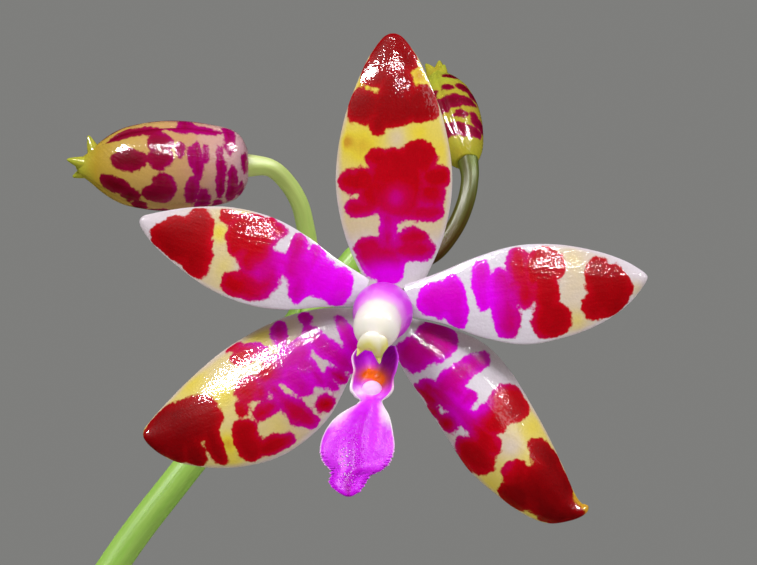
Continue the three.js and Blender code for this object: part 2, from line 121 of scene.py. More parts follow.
def noise(tree, place, scale, detail, roughness=0.5):
    # clouds of values from 0 to 1; three scales draw them out along the smallest
    if isinstance(scale, tuple):
        place, scale = addNode(tree, "Mapping", {"Vector": place, "Scale": scale}), 1
    inputs = {"Vector": place, "Scale": scale, "Detail": detail, "Roughness": roughness}
    return addNode(tree, "TexNoise", inputs)


def readField(tree, name):
    return addNode(tree, "Attribute", {}, attribute_name=name).outputs["Fac"]


def readTone(tree, name, cloud, strength):
    # a field made uneven by a cloud, up and down by half the strength
    return scaled(tree, cloud, strength, scaled(tree, readField(tree, name), 1, -strength / 2))


def ownPlace(tree, *names):
    # a place to draw on, from the piece's own measures in millimetres
    return addNode(tree, "CombineXYZ", {k: readField(tree, name) for k, name in enumerate(names)})


def newMaterial(name):
    # an empty material, its tree, and the place on the object in metres
    material = bpy.data.materials.new(name)
    material.use_nodes = True
    return material, material.node_tree, addNode(material.node_tree, "TexCoord", {}).outputs["Object"]


def finish(material, colour, values, height=None, strength=0, distance=0):
    # gives the shader its colour, its values and, from a height, a bump of so many metres
    tree = material.node_tree
    values = {"Base Color": colour, **values}
    if height is not None:
        bump = addNode(tree, "Bump", {"Height": height, "Strength": strength, "Distance": distance})
        values["Normal"] = bump
        if "Coat Weight" in values:
            values["Coat Normal"] = bump
    for key, value in values.items():
        setInput(tree, tree.nodes["Principled BSDF"], key, value)
    return material


def addObject(name, data):
    thing = bpy.data.objects.new(name, data)
    bpy.context.scene.collection.objects.link(thing)
    return thing


def pointAt(thing, place, target):
    place, target = np.array(place) / metre, np.array(target) / metre
    thing.location = place
    thing.rotation_euler = Vector(target - place).to_track_quat("-Z", "Y").to_euler()


def setStage():
    scene = bpy.context.scene
    scene.view_settings.view_transform = "Standard"
    scene.camera = camera = addObject("camera", bpy.data.cameras.new("camera"))
    camera.data.lens = view["lens"]
    camera.data.clip_start = 0.02
    place = flowerAt + view["offset"]
    pointAt(camera, place, place + [0, 1, 0])

    scene.world = world = bpy.data.worlds.new("studio")
    world.use_nodes = True
    setInput(world.node_tree, world.node_tree.nodes["Background"], "Color", view["world"])
    setInput(world.node_tree, world.node_tree.nodes["Background"], "Strength", view["worldStrength"])
    world.cycles_visibility.glossy = False  # no grey veil over the wet-looking reds

    for name, (place, target, size, power, lights) in lamps.items():
        lamp = addObject(name, bpy.data.lights.new(name, "AREA"))
        lamp.data.shape = "RECTANGLE"
        lamp.data.size, lamp.data.size_y = size[0] / metre, size[1] / metre
        lamp.data.energy = power
        lamp.data.spread = view["glossBeam"] if lights == "gloss" else np.pi
        lamp.visible_diffuse = lights != "gloss"  # a gloss lamp is seen only as a glint
        lamp.visible_glossy = lights != "tint"  # a tint lamp brightens without a glint
        pointAt(lamp, place, target)

    angle = turnOf(96)
    rim = np.stack([np.cos(angle), np.sin(angle), 0 * angle], -1) * view["floorRadius"] / metre
    mesh = bpy.data.meshes.new("floor")
    mesh.from_pydata(rim.tolist(), [], [list(range(96))])
    mesh.materials.append(finish(newMaterial("paleBackdropPaper")[0], view["floor"], {"Roughness": 0.9}))
    floor = addObject("floor", mesh)
    floor.visible_glossy = False


def turnOf(count):
    # so many angles at even steps round a circle
    return 2 * np.pi * np.arange(count) / count


setStage()
print("camera, floor and lights set")


# Curves and skins

def through(knots):
    # cubic pieces between [x, y] knots; each knot's slope is that of the line between its neighbours
    x0, y0 = np.array(knots, float).T
    slope = (np.append(y0[1:], y0[-1]) - np.append(y0[0], y0[:-1])) / (
        np.append(x0[1:], x0[-1]) - np.append(x0[0], x0[:-1])
    )

    def at(x):
        i = np.clip(np.searchsorted(x0, x, side="right") - 1, 0, len(x0) - 2)
        h = x0[i + 1] - x0[i]
        t = np.clip((x - x0[i]) / h, 0, 1)
        ease = t * t * (3 - 2 * t)
        return y0[i] + (y0[i + 1] - y0[i]) * ease + h * t * (1 - t) * ((1 - t) * slope[i] - t * slope[i + 1])

    return at


def runOf(path):
    # the length of a path up to each of its points
    return np.append(0, np.cumsum(np.linalg.norm(np.diff(path, axis=0), axis=1)))


def placesOn(path, even):
    # the places at the given lengths along a path
    return np.stack([np.interp(even, runOf(path), column) for column in path.T], -1)


def rise(x, low, high):
    # 0 at low and 1 at high, straight between and level beyond
    return np.clip((x - low) / (high - low), 0, 1)


def bell(x, width):
    # a bell curve: 1 at zero, about a third at the width
    return np.exp(-((x / width) ** 2))


def route(points, count):
    # a centripetal Catmull-Rom curve through the points, sampled at even steps of its length
    p = np.array(points, float)
    p = np.vstack([2 * p[0] - p[1], p, 2 * p[-1] - p[-2]])
    gap = np.sqrt(np.linalg.norm(np.diff(p, axis=0), axis=1))[:, None]
    step = (p[1:] - p[:-1]) / gap
    pull = step[:-1] - (p[2:] - p[:-2]) / (gap[:-1] + gap[1:]) + step[1:]
    u = np.linspace(0, 1, 80, endpoint=False)[None, :, None]
    a, b = p[1:-2, None], p[2:-1, None]
    ta, tb = (pull[:-1] * gap[1:-1])[:, None], (pull[1:] * gap[1:-1])[:, None]
    fine = a + ta * u + (3 * (b - a) - 2 * ta - tb) * u**2 + (2 * (a - b) + ta + tb) * u**3
    fine = np.vstack([fine.reshape(-1, 3), p[-2]])
    return placesOn(fine, np.linspace(0, runOf(fine)[-1], count))


def unit(v):
    return v / np.maximum(np.linalg.norm(v, axis=-1, keepdims=True), 1e-12)


def tube(path, radiusAt, sides, start, closeOver=0.0):
    # rings square to the path; angle 0 lies towards start, and radiusAt(share, angle) gives the outline.
    # Over the last closeOver millimetres the rings draw in as a quarter circle does.
    along = unit(np.gradient(path, axis=0))
    first = unit(start - (along @ start)[:, None] * along)
    second = np.cross(along, first)
    run = runOf(path)
    share, angle = np.meshgrid(run / run[-1], turnOf(sides), indexing="ij")
    arm = first[:, None] * np.cos(angle)[..., None] + second[:, None] * np.sin(angle)[..., None]
    radius = radiusAt(share, angle)
    if closeOver:
        left = np.clip((run[-1] - run) / closeOver, 0.002, 1)[:, None]
        radius = radius * np.sqrt(1 - (1 - left) ** 2)
    return path[:, None] + arm * radius[..., None], share, angle


def shell(rings, fields, wrap=False):
    # a skin through rings of points that close on themselves. A fan of triangles closes each end, or with
    # wrap the last ring joins the first.
    rows, columns = rings.shape[:2]
    points = rings.reshape(-1, 3)
    values = {name: np.broadcast_to(value, (rows, columns)).reshape(-1) for name, value in fields.items()}
    row = np.arange(rows if wrap else rows - 1)[:, None]
    column = np.arange(columns)
    ahead, above = (column + 1) % columns, (row + 1) % rows
    quads = np.stack(
        [(row * columns + column).ravel(), (row * columns + ahead).ravel(),
         (above * columns + ahead).ravel(), (above * columns + column).ravel()], -1)
    triangles = np.zeros((0, 3), int)
    for end in () if wrap else (0, rows - 1):
        ring = end * columns + column
        middle = np.full(columns, len(points))
        fan = [middle, np.roll(ring, -1), ring] if end == 0 else [middle, ring, np.roll(ring, -1)]
        triangles = np.vstack([triangles, np.stack(fan, -1)])
        points = np.vstack([points, rings[end].mean(0)])
        values = {name: np.append(value, value[ring].mean()) for name, value in values.items()}
    corners = np.vstack([quads[:, [0, 1, 2]], quads[:, [0, 2, 3]], triangles])
    a, b, c = (points[corners[:, k]] - points.mean(0) for k in range(3))
    if (a * np.cross(b, c)).sum() < 0:  # the skin's own volume says which way its faces point
        quads, triangles = quads[:, ::-1], triangles[:, ::-1]
    return {"points": points, "quads": quads, "triangles": triangles, "fields": values}


def blade(surface, thickness, rows, around, rim=0.35, tip=0.03, foot=0.0):
    # a leaf with two faces and a round edge: the width goes as the cosine of an angle and the thickness as
    # a power of its sine; close to the tip, and to the foot, both draw in as a quarter circle does
    t = np.linspace(0, 1, rows)
    t = 0.65 * t + 0.35 * (0.5 - 0.5 * np.cos(np.pi * t))
    t, angle = np.meshgrid(t, turnOf(around), indexing="ij")
    close = np.sqrt(1 - np.clip((t - 1 + tip) / tip, 0, 0.9999) ** 2)
    if foot:
        close = close * np.sqrt(1 - np.clip((foot - t) / foot, 0, 0.9999) ** 2)
    s = np.cos(angle) * close
    step = 1e-3
    along = surface(np.minimum(t + step, 1), s) - surface(np.maximum(t - step, 0), s)
    across = surface(t, np.minimum(s + step, 1)) - surface(t, np.maximum(s - step, -1))
    normal = unit(np.cross(across, along))
    side = np.sign(np.sin(angle)) * np.abs(np.sin(angle)) ** rim
    points = surface(t, s) + normal * (thickness(t, s) / 2 * side * close)[..., None]
    return points, t, s, normal * np.sign(side)[..., None]


def unevenness(points, size, seed):
    # smooth waves that point every way, added up: about -1 to 1, changing over so many millimetres
    random = np.random.default_rng(seed)
    total = np.zeros(points.shape[:-1])
    for k in range(10):
        way = unit(random.normal(size=3)) * (0.7 + 0.6 * random.random())
        total += np.sin((points @ way) * 2 * np.pi / (1.6 * size) + random.random() * 7)
    return total / 3.2


def makePiece(node, shells, material, ending="_skin"):
    # one object from one or more skins, standing for the solid of a node
    name = node + ending
    points, quads, triangles = [], [], []
    for part in shells:
        offset = sum(map(len, points))
        points.append(part["points"])
        quads.append(part["quads"] + offset)
        triangles.append(part["triangles"] + offset)
    points, quads, triangles = np.vstack(points), np.vstack(quads), np.vstack(triangles)
    mesh = bpy.data.meshes.new(name)
    mesh.vertices.add(len(points))
    mesh.vertices.foreach_set("co", (points / metre).ravel())
    corners = np.concatenate([quads.ravel(), triangles.ravel()])
    starts = np.concatenate([4 * np.arange(len(quads)), 4 * len(quads) + 3 * np.arange(len(triangles))])
    mesh.loops.add(len(corners))
    mesh.loops.foreach_set("vertex_index", corners)
    mesh.polygons.add(len(starts))
    mesh.polygons.foreach_set("loop_start", starts)
    mesh.polygons.foreach_set("use_smooth", np.ones(len(starts), bool))
    mesh.update(calc_edges=True)
    for field in shells[0]["fields"]:
        values = np.concatenate([part["fields"][field] for part in shells])
        mesh.attributes.new(field, "FLOAT", "POINT").data.foreach_set("value", values.astype(np.float32))
    mesh.materials.append(material)
    piece = addObject(name, mesh)
    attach(piece, "root")
    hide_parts(node)


# Sepals and petals

# foot and tip: [X, Z] from the flower's middle. camber: how far the edges fall back. roll: the tilt.
# edges: [share of the length, how far the upper edge lies from the line between foot and tip, how far the
# lower one does]. depth: the midline's place behind the column's foot. blots: [along, across, half length,
# half width, tilt in degrees, if any] of each coloured patch, in millimetres from the foot and up from the
# line. redAt and warmAt: [share of the length, tone] of the patches, violet to dark red, and of the
# ground, white to gold. glow and gold: [along, across, reach, strength] of places where the patches stay
# violet and where the ground is yellower.
tepals = {
    "dorsal_sepal": {
        "foot": [0.95, 1.9], "tip": [0.8, 22.4], "camber": 0.5, "roll": 0,
        "edges": [[0, 2.1, 2.1], [0.2, 3.9, 3.9], [0.42, 4.66, 4.66], [0.66, 3.96, 3.96], [0.88, 2.2, 2.2],
            [0.96, 1.15, 1.15], [1, 0.4, 0.4]],
        "depth": [[0, 1.95], [0.5, 0.9], [0.8, 1.15], [1, 2.7]],
        "blots": [[2, -0.5, 1.8, 1.3], [3.1, 1.5, 0.95, 1.8], [4.1, 1.4, 0.8, 1.4],
            [2.5, -1.7, 1.7, 1.3, -18], [3.4, -2.2, 0.8, 1.1], [4.8, -0.5, 1.6, 0.75],
            [6.1, 2.6, 0.75, 1.45], [7.6, 2.9, 1.1, 1.25], [8.9, 3.3, 0.95, 1.35], [10.4, 1.8, 1.45, 1.6],
            [8.3, 0.2, 3, 2.4], [10.4, -1.2, 0.85, 0.95], [6.5, -2.5, 0.8, 1.45], [8.7, -2.9, 1.1, 1.65],
            [7.4, -1.7, 1.3, 1.15], [14.4, 2.3, 1.25, 1.65], [15.2, 2.4, 1, 1.4], [14.4, 0, 1.6, 1.9],
            [13.2, -1.3, 1, 0.75], [14.6, -2.4, 1.45, 1.55], [16.3, 0.3, 1.3, 1.4], [17.3, -1.3, 1.3, 1.55],
            [18.3, 0.9, 1.05, 1.15], [19.3, 0, 1.4, 1.5], [18.4, -0.8, 1.3, 1.3]],
        "redAt": [[0, 0], [0.07, 0.1], [0.13, 0.36], [0.3, 0.44], [0.5, 0.56], [0.7, 0.72], [1, 0.8]],
        "warmAt": [[0, 0], [0.13, 0.1], [0.25, 0.42], [0.45, 0.5], [0.6, 0.62], [1, 0.8]],
        "glow": [[4.9, -0.6, 1, 0.2], [7.4, 0.2, 0.9, 0.22], [1.2, -0.3, 1.2, 0.2]],
        "gold": [[11.2, -2.6, 1.7, 0.32], [10.6, 3.6, 1.2, 0.2], [12.3, 2, 0.9, 0.2],
            [12.1, 0.2, 0.9, -0.22], [11.8, -3.9, 0.6, 0.3], [17, 2.1, 0.8, 0.25], [16.3, -2.6, 0.8, 0.25]],
    },
    "petal_left": {
        "foot": [-1.38, 1.74], "tip": [-19.55, 7.2], "camber": 0.35, "roll": 0.04,
        "edges": [[0, 0.9, 1.3], [0.16, 1.75, 2.3], [0.3, 2.75, 3.3], [0.46, 3.4, 3.8], [0.64, 3.25, 3.45],
            [0.8, 2.35, 2.4], [0.92, 1.3, 1.3], [1, 0.45, 0.1]],
        "depth": [[0, 0.75], [0.5, -0.3], [1, 0.6]],
        "blots": [[2.2, -0.4, 1.1, 1.65], [3.7, -0.1, 1.3, 1.6], [5.2, -1.1, 0.85, 1.6],
            [4.7, 1.2, 0.6, 1.4], [6.2, 1.4, 0.8, 1.65], [5.6, 0.1, 1.5, 1.1], [7.2, 0.2, 1, 0.65],
            [8.1, 2.5, 0.85, 0.75], [8.8, 3.2, 0.6, 0.75], [8.8, 1.7, 0.8, 1.3], [9.8, 1.6, 1.6, 1.8],
            [10.9, 1.2, 1.05, 1.7], [9.2, 0, 1.4, 1.6], [7.9, -1, 1.1, 1.7], [9, -2.2, 1.5, 1.3],
            [10.2, -2.6, 1.1, 0.95], [12.3, 2.5, 0.6, 0.62], [14.2, 0.9, 1.2, 1.65],
            [15.1, -0.3, 2.3, 1.8, -12], [13.6, -1.6, 1.25, 1.45], [16.5, -0.6, 1.2, 1.1]],
        "redAt": [[0, 0], [0.2, 0.04], [0.3, 0.2], [0.42, 0.4], [0.55, 0.52], [0.7, 0.62], [0.8, 0.72],
            [1, 0.7]],
        "warmAt": [[0, 0], [0.3, 0.05], [0.5, 0.14], [0.58, 0.4], [0.8, 0.3], [1, 0.12]],
        "glow": [[4, -0.3, 1.8, 0.1], [8.6, -1.2, 0.9, 0.22], [7.4, 0.2, 0.9, 0.2]],
        "gold": [[12.5, 1, 0.8, 0.35], [11.3, -1.4, 1.2, 0.12], [10.9, 3.1, 0.8, 0.25]],
    },
    "petal_right": {
        "foot": [1.8, 1.23], "tip": [21.2, 2.8], "camber": 0.4, "roll": 0.04,
        "edges": [[0, 0.9, 1.5], [0.15, 1.7, 2.4], [0.3, 2.65, 3.7], [0.47, 3.32, 4.55], [0.64, 3.15, 4.25],
            [0.8, 2.35, 3.3], [0.92, 1.3, 1.85], [1, 0.15, 0.15]],
        "depth": [[0, 0.75], [0.5, -0.5], [1, 0.2]],
        "blots": [[2.9, -0.5, 1.95, 1.5], [3.9, -0.6, 1.05, 1.95], [4.1, -1.9, 0.85, 1.15],
            [6.2, 0.4, 0.8, 2.1], [7.7, -0.7, 1.1, 2.4], [7.9, -2.5, 1.1, 1.55], [8.6, 0.2, 0.9, 0.8],
            [9.2, 1.5, 1.05, 1.7], [9.5, -0.2, 0.75, 1.45], [10.2, 1, 0.8, 1.3], [11.3, 1.6, 1.6, 1.55],
            [11.2, -0.6, 1.1, 1.7], [11.5, -2.8, 1.6, 1.6], [15.5, 0.1, 1.2, 1.75], [16.4, -0.6, 1.6, 1.85],
            [14.9, -2.1, 1.05, 1], [16, -1.6, 1.5, 1.3]],
        "redAt": [[0, 0.03], [0.25, 0.05], [0.36, 0.12], [0.44, 0.34], [0.52, 0.5], [0.62, 0.6],
            [0.8, 0.68], [1, 0.7]],
        "warmAt": [[0, 0], [0.5, 0.04], [0.62, 0.3], [0.72, 0.34], [0.85, 0.2], [1, 0.1]],
        "glow": [[7, -0.6, 1.2, 0.12]],
        "gold": [[13.4, -2.9, 0.9, 0.2], [13.6, 1.8, 0.8, 0.1], [18.4, -0.8, 0.7, 0.25]],
    },
    "lateral_sepal_left": {
        "foot": [-1.08, -2.25], "tip": [-19.36, -9.92], "camber": 1.3, "roll": 0.18,
        "edges": [[0, 2.7, 0.9], [0.12, 3.7, 2], [0.28, 4.25, 4.5], [0.46, 4.05, 5.7], [0.6, 3.5, 5.7],
            [0.76, 2.4, 4.8], [0.9, 1.2, 3.2], [0.96, 0.6, 1.9], [1, 0.1, 0.3]],
        "depth": [[0, 1.95], [0.35, 1.2], [0.7, 1.4], [1, 3.2]],
        "blots": [[1.5, 0.8, 0.65, 1.9, -6], [2.4, -1.3, 0.35, 0.8, -30], [3.4, 0.5, 0.85, 2.3, -30],
            [2.4, -1.1, 0.5, 0.9, -10], [3.6, -1.6, 0.5, 1.15, -35], [4.1, 3.6, 0.6, 0.75],
            [6.5, 3.2, 0.7, 1.25, 12], [6.9, 0.8, 2.3, 0.95, -4], [5.2, -0.6, 0.6, 1.6, -14],
            [6.6, -0.8, 0.95, 1.45, -20], [8.1, 0.3, 1.3, 0.8], [5.8, 0.3, 0.8, 1.4], [3.9, 2, 0.5, 1, -30],
            [5.4, 1.7, 0.7, 0.6, -10], [4.3, -2.2, 0.35, 0.6, -30], [8.5, -0.9, 0.5, 0.8, -30],
            [8.3, 2.2, 0.5, 0.5], [9.6, 2.7, 1.4, 0.75], [10.4, 3.6, 0.9, 0.4, -12], [10.5, 0, 1.2, 1],
            [9.7, -0.6, 0.7, 0.7], [9.8, -2, 1.2, 0.65, -8], [7.6, -3, 0.9, 1.95, -28],
            [5.3, -3.3, 0.85, 0.68, 8], [11.6, -1.2, 0.5, 0.6], [10.2, -4.8, 1.7, 0.85],
            [12.1, -3.9, 1.1, 1.55], [12, -2.8, 1.2, 0.85], [15.4, -0.6, 2.3, 1.8], [17, -0.6, 2.4, 1.9],
            [14.6, -2.7, 0.72, 1.95], [16.4, -2.4, 1, 1.75], [18.8, -1, 1.3, 1.3, -20],
            [17.6, -1.9, 1.2, 1.5]],
        "redAt": [[0, 0.12], [0.15, 0.16], [0.3, 0.2], [0.42, 0.3], [0.52, 0.5], [0.64, 0.6], [0.78, 0.78],
            [1, 0.85]],
        "warmAt": [[0, 0.05], [0.2, 0.24], [0.4, 0.42], [0.6, 0.5], [1, 0.62]],
        "glow": [[6.6, -0.4, 1.6, 0.1], [7.5, -3.2, 1.5, -0.16], [5.3, -3.3, 1, -0.3],
            [3.4, -1.8, 0.8, -0.2], [8.8, 0.9, 0.8, -0.2], [10.4, 0.1, 1.2, 0.08]],
        "gold": [[8, 3.8, 1.4, 0.3], [12.4, 0.4, 0.9, 0.25], [13.6, -3.2, 0.7, 0.4], [13.8, -4.5, 0.8, 0.2],
            [9.4, -3, 1.1, 0.1], [14.5, 2.4, 1.2, 0.2]],
    },
    "lateral_sepal_right": {
        "foot": [1.23, -1.53], "tip": [16.72, -15.84], "camber": 1.8, "roll": 0.15,
        "edges": [[0, 1.3, 1.2], [0.14, 2.9, 2.1], [0.28, 3.85, 2.85], [0.42, 3.65, 3.6], [0.56, 2.85, 4.3],
            [0.7, 1.85, 4.25], [0.83, 0.75, 3.9], [0.92, -0.1, 3.1], [0.97, -0.3, 1.8], [1, 0.1, 0.35]],
        "depth": [[0, 1.95], [0.35, 1.3], [0.7, 2], [1, 4.2]],
        "blots": [[2.8, 1.3, 1.75, 1.75], [2.3, -0.4, 1.5, 1.3], [6.3, 2.1, 0.85, 1.3, -10],
            [5.9, 0.2, 1, 1.8, -8], [5.2, -1.4, 1.2, 0.65, 8], [7.4, -1.3, 2.6, 0.75],
            [9.6, -1.4, 1.8, 0.65], [7.7, -0.4, 0.7, 0.95], [6.7, -0.3, 0.9, 0.7],
            [5.2, -2.1, 1.3, 0.42, 8], [6.3, -2.8, 0.95, 0.55, 8], [8, -2.6, 0.85, 0.95, -20],
            [10.5, 1.6, 1.75, 1.4], [10.3, -0.2, 1.4, 1.3], [11.4, -1.6, 1.2, 0.9], [11.3, -3, 1.85, 1.15],
            [10.8, -4.2, 1.7, 0.65, -8], [15.3, 0.5, 1.6, 0.95], [17.2, 0, 1.9, 0.85, -14],
            [14.6, -2, 1.15, 0.95], [15.8, -3.2, 1.5, 1.25], [17.2, -1.3, 2.3, 1.8],
            [18.9, -2, 1.8, 1.3, 20], [20.2, -1.4, 1.1, 0.75, 25]],
        "redAt": [[0, 0.24], [0.15, 0.2], [0.35, 0.22], [0.42, 0.36], [0.5, 0.56], [0.62, 0.66],
            [0.75, 0.8], [1, 0.88]],
        "warmAt": [[0, 0], [0.4, 0.05], [0.52, 0.36], [0.6, 0.56], [0.8, 0.66], [1, 0.9]],
        "glow": [[8.6, -1.1, 1.4, 0.2], [14, -2, 0.8, 0.3], [11.8, -1.5, 0.7, 0.15], [6.4, -2.7, 1.2, -0.2],
            [8, -2.8, 0.8, -0.25], [5, -2.2, 1, -0.2], [9.3, 0, 0.5, 0.15]],
        "gold": [[13.2, 1.4, 1, 0.15], [12.9, -0.8, 1.1, -0.22], [13.6, -4.2, 1.2, 0.12],
            [8.6, -3.6, 1, 0.3], [19.8, -0.4, 0.8, 0.3], [21, 0, 1, 0.3]],
    },
}


def patchDistance(a, b, patches):
    # distance to the nearest of a list of ellipses, below zero inside, with the joints between them rounded
    total = np.full(a.shape, far)
    joint = 0.35  # mm, over which two patches flow together
    for along, across, long, wide, *tilt in patches:
        turn = np.radians(sum(tilt))
        x = (a - along) * np.cos(turn) + (b - across) * np.sin(turn)
        y = -(a - along) * np.sin(turn) + (b - across) * np.cos(turn)
        near = np.sqrt((x / long) ** 2 + (y / wide) ** 2)
        steep = np.sqrt((x / long**2) ** 2 + (y / wide**2) ** 2) + 1e-6
        distance = near * (near - 1) / steep
        share = np.clip(0.5 + 0.5 * (total - distance) / joint, 0, 1)
        total = total * (1 - share) + distance * share - joint * share * (1 - share)
    return total


def patchGlow(a, b, patches):
    # soft round patches, each falling off as a bell curve
    return sum(strength * bell(np.hypot(a - x, b - y), reach) for x, y, reach, strength in patches)


def waxySkin(name, reds, grounds, reverse):
    # thick waxy flower tissue: satin gloss that breaks into sparks on the raised cells, and saturated
    # blots with a violet rim on a cream ground
    material, tree, place = newMaterial(name)
    bays, nicks = noise(tree, place, 800, 1), noise(tree, place, 3600, 1)  # 1.2 mm and 0.3 mm across
    edge = scaled(tree, nicks, 0.36, scaled(tree, readField(tree, "blot"), 1, -0.56))
    edge = scaled(tree, bays, 0.7, edge)
    inside = mapped(tree, edge, 0.11, -0.09, interpolation_type="SMOOTHSTEP")
    cloud = noise(tree, place, 520, 3)
    inward = mapped(tree, edge, 0, -0.7, -0.09, 0.08)
    redness = scaled(tree, inward, 1, readTone(tree, "redness", cloud, 0.2))
    ground = ramp(tree, readTone(tree, "warmth", cloud, 0.2), grounds)
    skin = blend(tree, inside, ground, ramp(tree, redness, reds))
    colour = blend(tree, readField(tree, "front"), blend(tree, 0.62, skin, reverse), skin)
    ridges = noise(tree, ownPlace(tree, "along", "across"), (0.45, 1.9, 1), 2)  # 0.5 mm apart
    cells = noise(tree, place, 5200, 1)  # 0.2 mm across
    wax = scaled(tree, cells, 1.4, scaled(tree, ridges, 0.6))
    return finish(material, colour, {
        "Roughness": 0.42, "Specular IOR Level": 0.02,  # the wax coat carries the gloss
        "Coat Weight": mapped(tree, wax, 0.9, 1.08, 0.12, 1),  # which breaks into grains at its edges
        "Coat Roughness": 0.07,
    }, scaled(tree, cells, 0.5, ridges), 0.38, 0.0001)


def tepalSurface(tepal):
    # the outline seen from the front is exact; the depth adds a curve, the edges' fall and the tilt
    foot, tip = np.array(tepal["foot"]), np.array(tepal["tip"])
    length = np.hypot(*(tip - foot))
    axis = (tip - foot) / length
    normal = np.array([-axis[1], axis[0]])
    if normal[1] < 0 or (normal[1] < 1e-2 and normal[0] < 0):
        normal = -normal
    edges = np.array(tepal["edges"])
    upper, lower = through(edges[:, :2]), through(edges[:, [0, 2]])
    depthAt = through(tepal["depth"])
    widest = edges[:, 1:].mean(1).max()

    def where(t, s):
        half = (upper(t) + lower(t)) / 2
        return (upper(t) - lower(t)) / 2 + s * half, half

    def surface(t, s):
        away, half = where(t, s)
        x, z = (foot[k] + axis[k] * length * t + normal[k] * away for k in (0, 1))
        back = tepal["camber"] * s * s * half / widest + tepal["roll"] * away * np.minimum(1, 4 * t)
        return np.stack([x, depthAt(t) + back, z], -1) + flowerAt

    return surface, where, length


tepalReds = {
    0: "#DC00E4", 0.15: "#D000BC", 0.3: "#C20086", 0.44: "#BE0044", 0.56: "#B60014", 0.75: "#980008",
    0.9: "#7C0005", 1: "#640003",
}
tepalGrounds = {
    0: "#D8D0DC", 0.2: "#CFC2C8", 0.42: "#D0BC98", 0.62: "#D8C468", 0.82: "#DCC53C", 1: "#C4922C",
}


def makeTepals():
    material = waxySkin("waxyTepal", tepalReds, tepalGrounds, "#D9CFA6")
    for name, tepal in tepals.items():
        surface, where, length = tepalSurface(tepal)
        points, t, s, facing = blade(surface, lambda t, s: 0.9 - 0.3 * s * s, 190, 132, rim=0.3, tip=0.02)
        along, across = t * length, where(t, s)[0]
        margin = rise(np.abs(s), 0.88, 1)
        warmth = through(tepal["warmAt"])(t) + patchGlow(along, across, tepal["gold"])
        fields = {
            "blot": patchDistance(along, across, tepal["blots"]) + 0.4 * margin**2,
            "redness": through(tepal["redAt"])(t) - patchGlow(along, across, tepal["glow"]),
            "warmth": warmth * (1 - 0.5 * margin),
            "front": (facing[..., 1] < 0).astype(float),
            "along": along,
            "across": across,
        }
        makePiece(name, [shell(points, fields)], material)


makeTepals()
print("sepals and petals made")


# Buds

# foot and tip: [X, Y, Z] from the flower's middle. start: where angle 0 lies. turn: the seams' angle, in
# radians. horns: where the sepals' points end. half: [share of the length, share of the radius]. blots:
# [along, angle in degrees, half length, half width] in millimetres; each lies on the far side too.
# rednessAt and warmthAt: [share of the length, tone] of the blots, violet to dark red, and of the ground,
# pink to green. seamWidth: a share of half a sepal.
buds = {
    "bud_left": {
        "foot": [-11.2, 10, 12], "tip": [-25.1, 8, 11.8], "start": [0, 0, -1], "radius": 3.65, "turn": 0.5,
        "horns": [[-24.1, 8.4, 14.4], [-25.8, 7.4, 12.4], [-25.4, 8.6, 11]],
        "half": [[0, 0.4], [0.03, 0.62], [0.08, 0.78], [0.18, 0.89], [0.37, 1], [0.54, 0.99], [0.7, 0.88],
            [0.78, 0.75], [0.85, 0.57], [0.91, 0.37], [0.96, 0.22], [1, 0.1]],
        "blots": [[0.4, 92, 0.28, 0.9], [0.7, 40, 0.25, 0.9], [1.45, 125, 0.24, 0.9], [2.45, 74, 0.42, 2.3],
            [3.75, 106, 0.38, 0.85], [3.6, 35, 0.3, 0.5], [4.85, 98, 0.38, 0.8], [4.8, 50, 0.6, 1.5],
            [5.8, 108, 0.35, 0.75], [7.4, 99, 1.1, 0.95], [4.6, 143, 2.5, 0.6], [9.3, 143, 2.5, 0.6],
            [7.6, 52, 1.15, 1], [8.9, 22, 0.6, 0.8], [11, 54, 1.2, 0.75], [9.9, 98, 1.5, 0.85],
            [5.2, 173, 2.9, 0.45], [10.4, 172, 1.6, 0.4], [7.3, 8, 1, 0.7], [2.6, 12, 0.4, 0.9],
            [2.2, 232, 0.5, 1.8], [4.6, 214, 0.7, 1.4], [5.1, 276, 0.5, 1.6], [7.9, 240, 1.1, 1.2],
            [8.1, 300, 1, 1], [10.6, 222, 0.8, 0.8], [10.7, 280, 0.9, 1], [2.4, 312, 0.5, 1.6],
            [5.9, 332, 0.7, 0.9]],
        "rednessAt": [[0, 0.4], [0.35, 0.42], [0.6, 0.6], [1, 0.85]],
        "warmthAt": [[0, 0.02], [0.15, 0.15], [0.4, 0.36], [0.6, 0.5], [0.8, 0.7], [1, 0.95]],
    },
    "bud_right": {
        "foot": [7.1, 22, 12.6], "tip": [4.5, 28.6, 20.6], "start": [-1, 0, 0], "radius": 2.45, "turn": 1.3,
        "horns": [[3.7, 28.9, 21.2], [4.9, 29.6, 21.5], [5.3, 28.4, 21.1]],
        "half": [[0, 0.4], [0.04, 0.53], [0.1, 0.67], [0.2, 0.81], [0.37, 0.96], [0.54, 1], [0.7, 0.9],
            [0.78, 0.76], [0.85, 0.58], [0.91, 0.37], [0.96, 0.22], [1, 0.1]],
        "blots": [[1.9, 115, 0.5, 1.5], [3.4, 100, 0.4, 0.8], [3.5, 135, 0.4, 0.6], [4.9, 118, 0.5, 1.5],
            [6.6, 130, 0.6, 0.9], [6.5, 90, 0.4, 0.5], [8.2, 112, 0.5, 0.9], [2.4, 55, 0.6, 0.8],
            [4.4, 65, 0.4, 0.8], [6.2, 45, 0.6, 0.9], [2.8, 170, 0.6, 0.9], [5.8, 175, 0.6, 0.9],
            [3, 250, 0.6, 1.3], [5.6, 265, 0.7, 1.2], [3.6, 330, 0.6, 1.2], [6.6, 335, 0.6, 0.9]],
        # the far bud's dark maroon blots and olive ground: partly its own colour, partly painted shade
        "rednessAt": [[0, 0.55], [0.4, 0.66], [1, 0.85]],
        "warmthAt": [[0, 0.92], [0.4, 0.86], [1, 1.05]],
    },
}
budLook = {"seamDepth": 0.065, "seamWidth": 0.16 / 3}
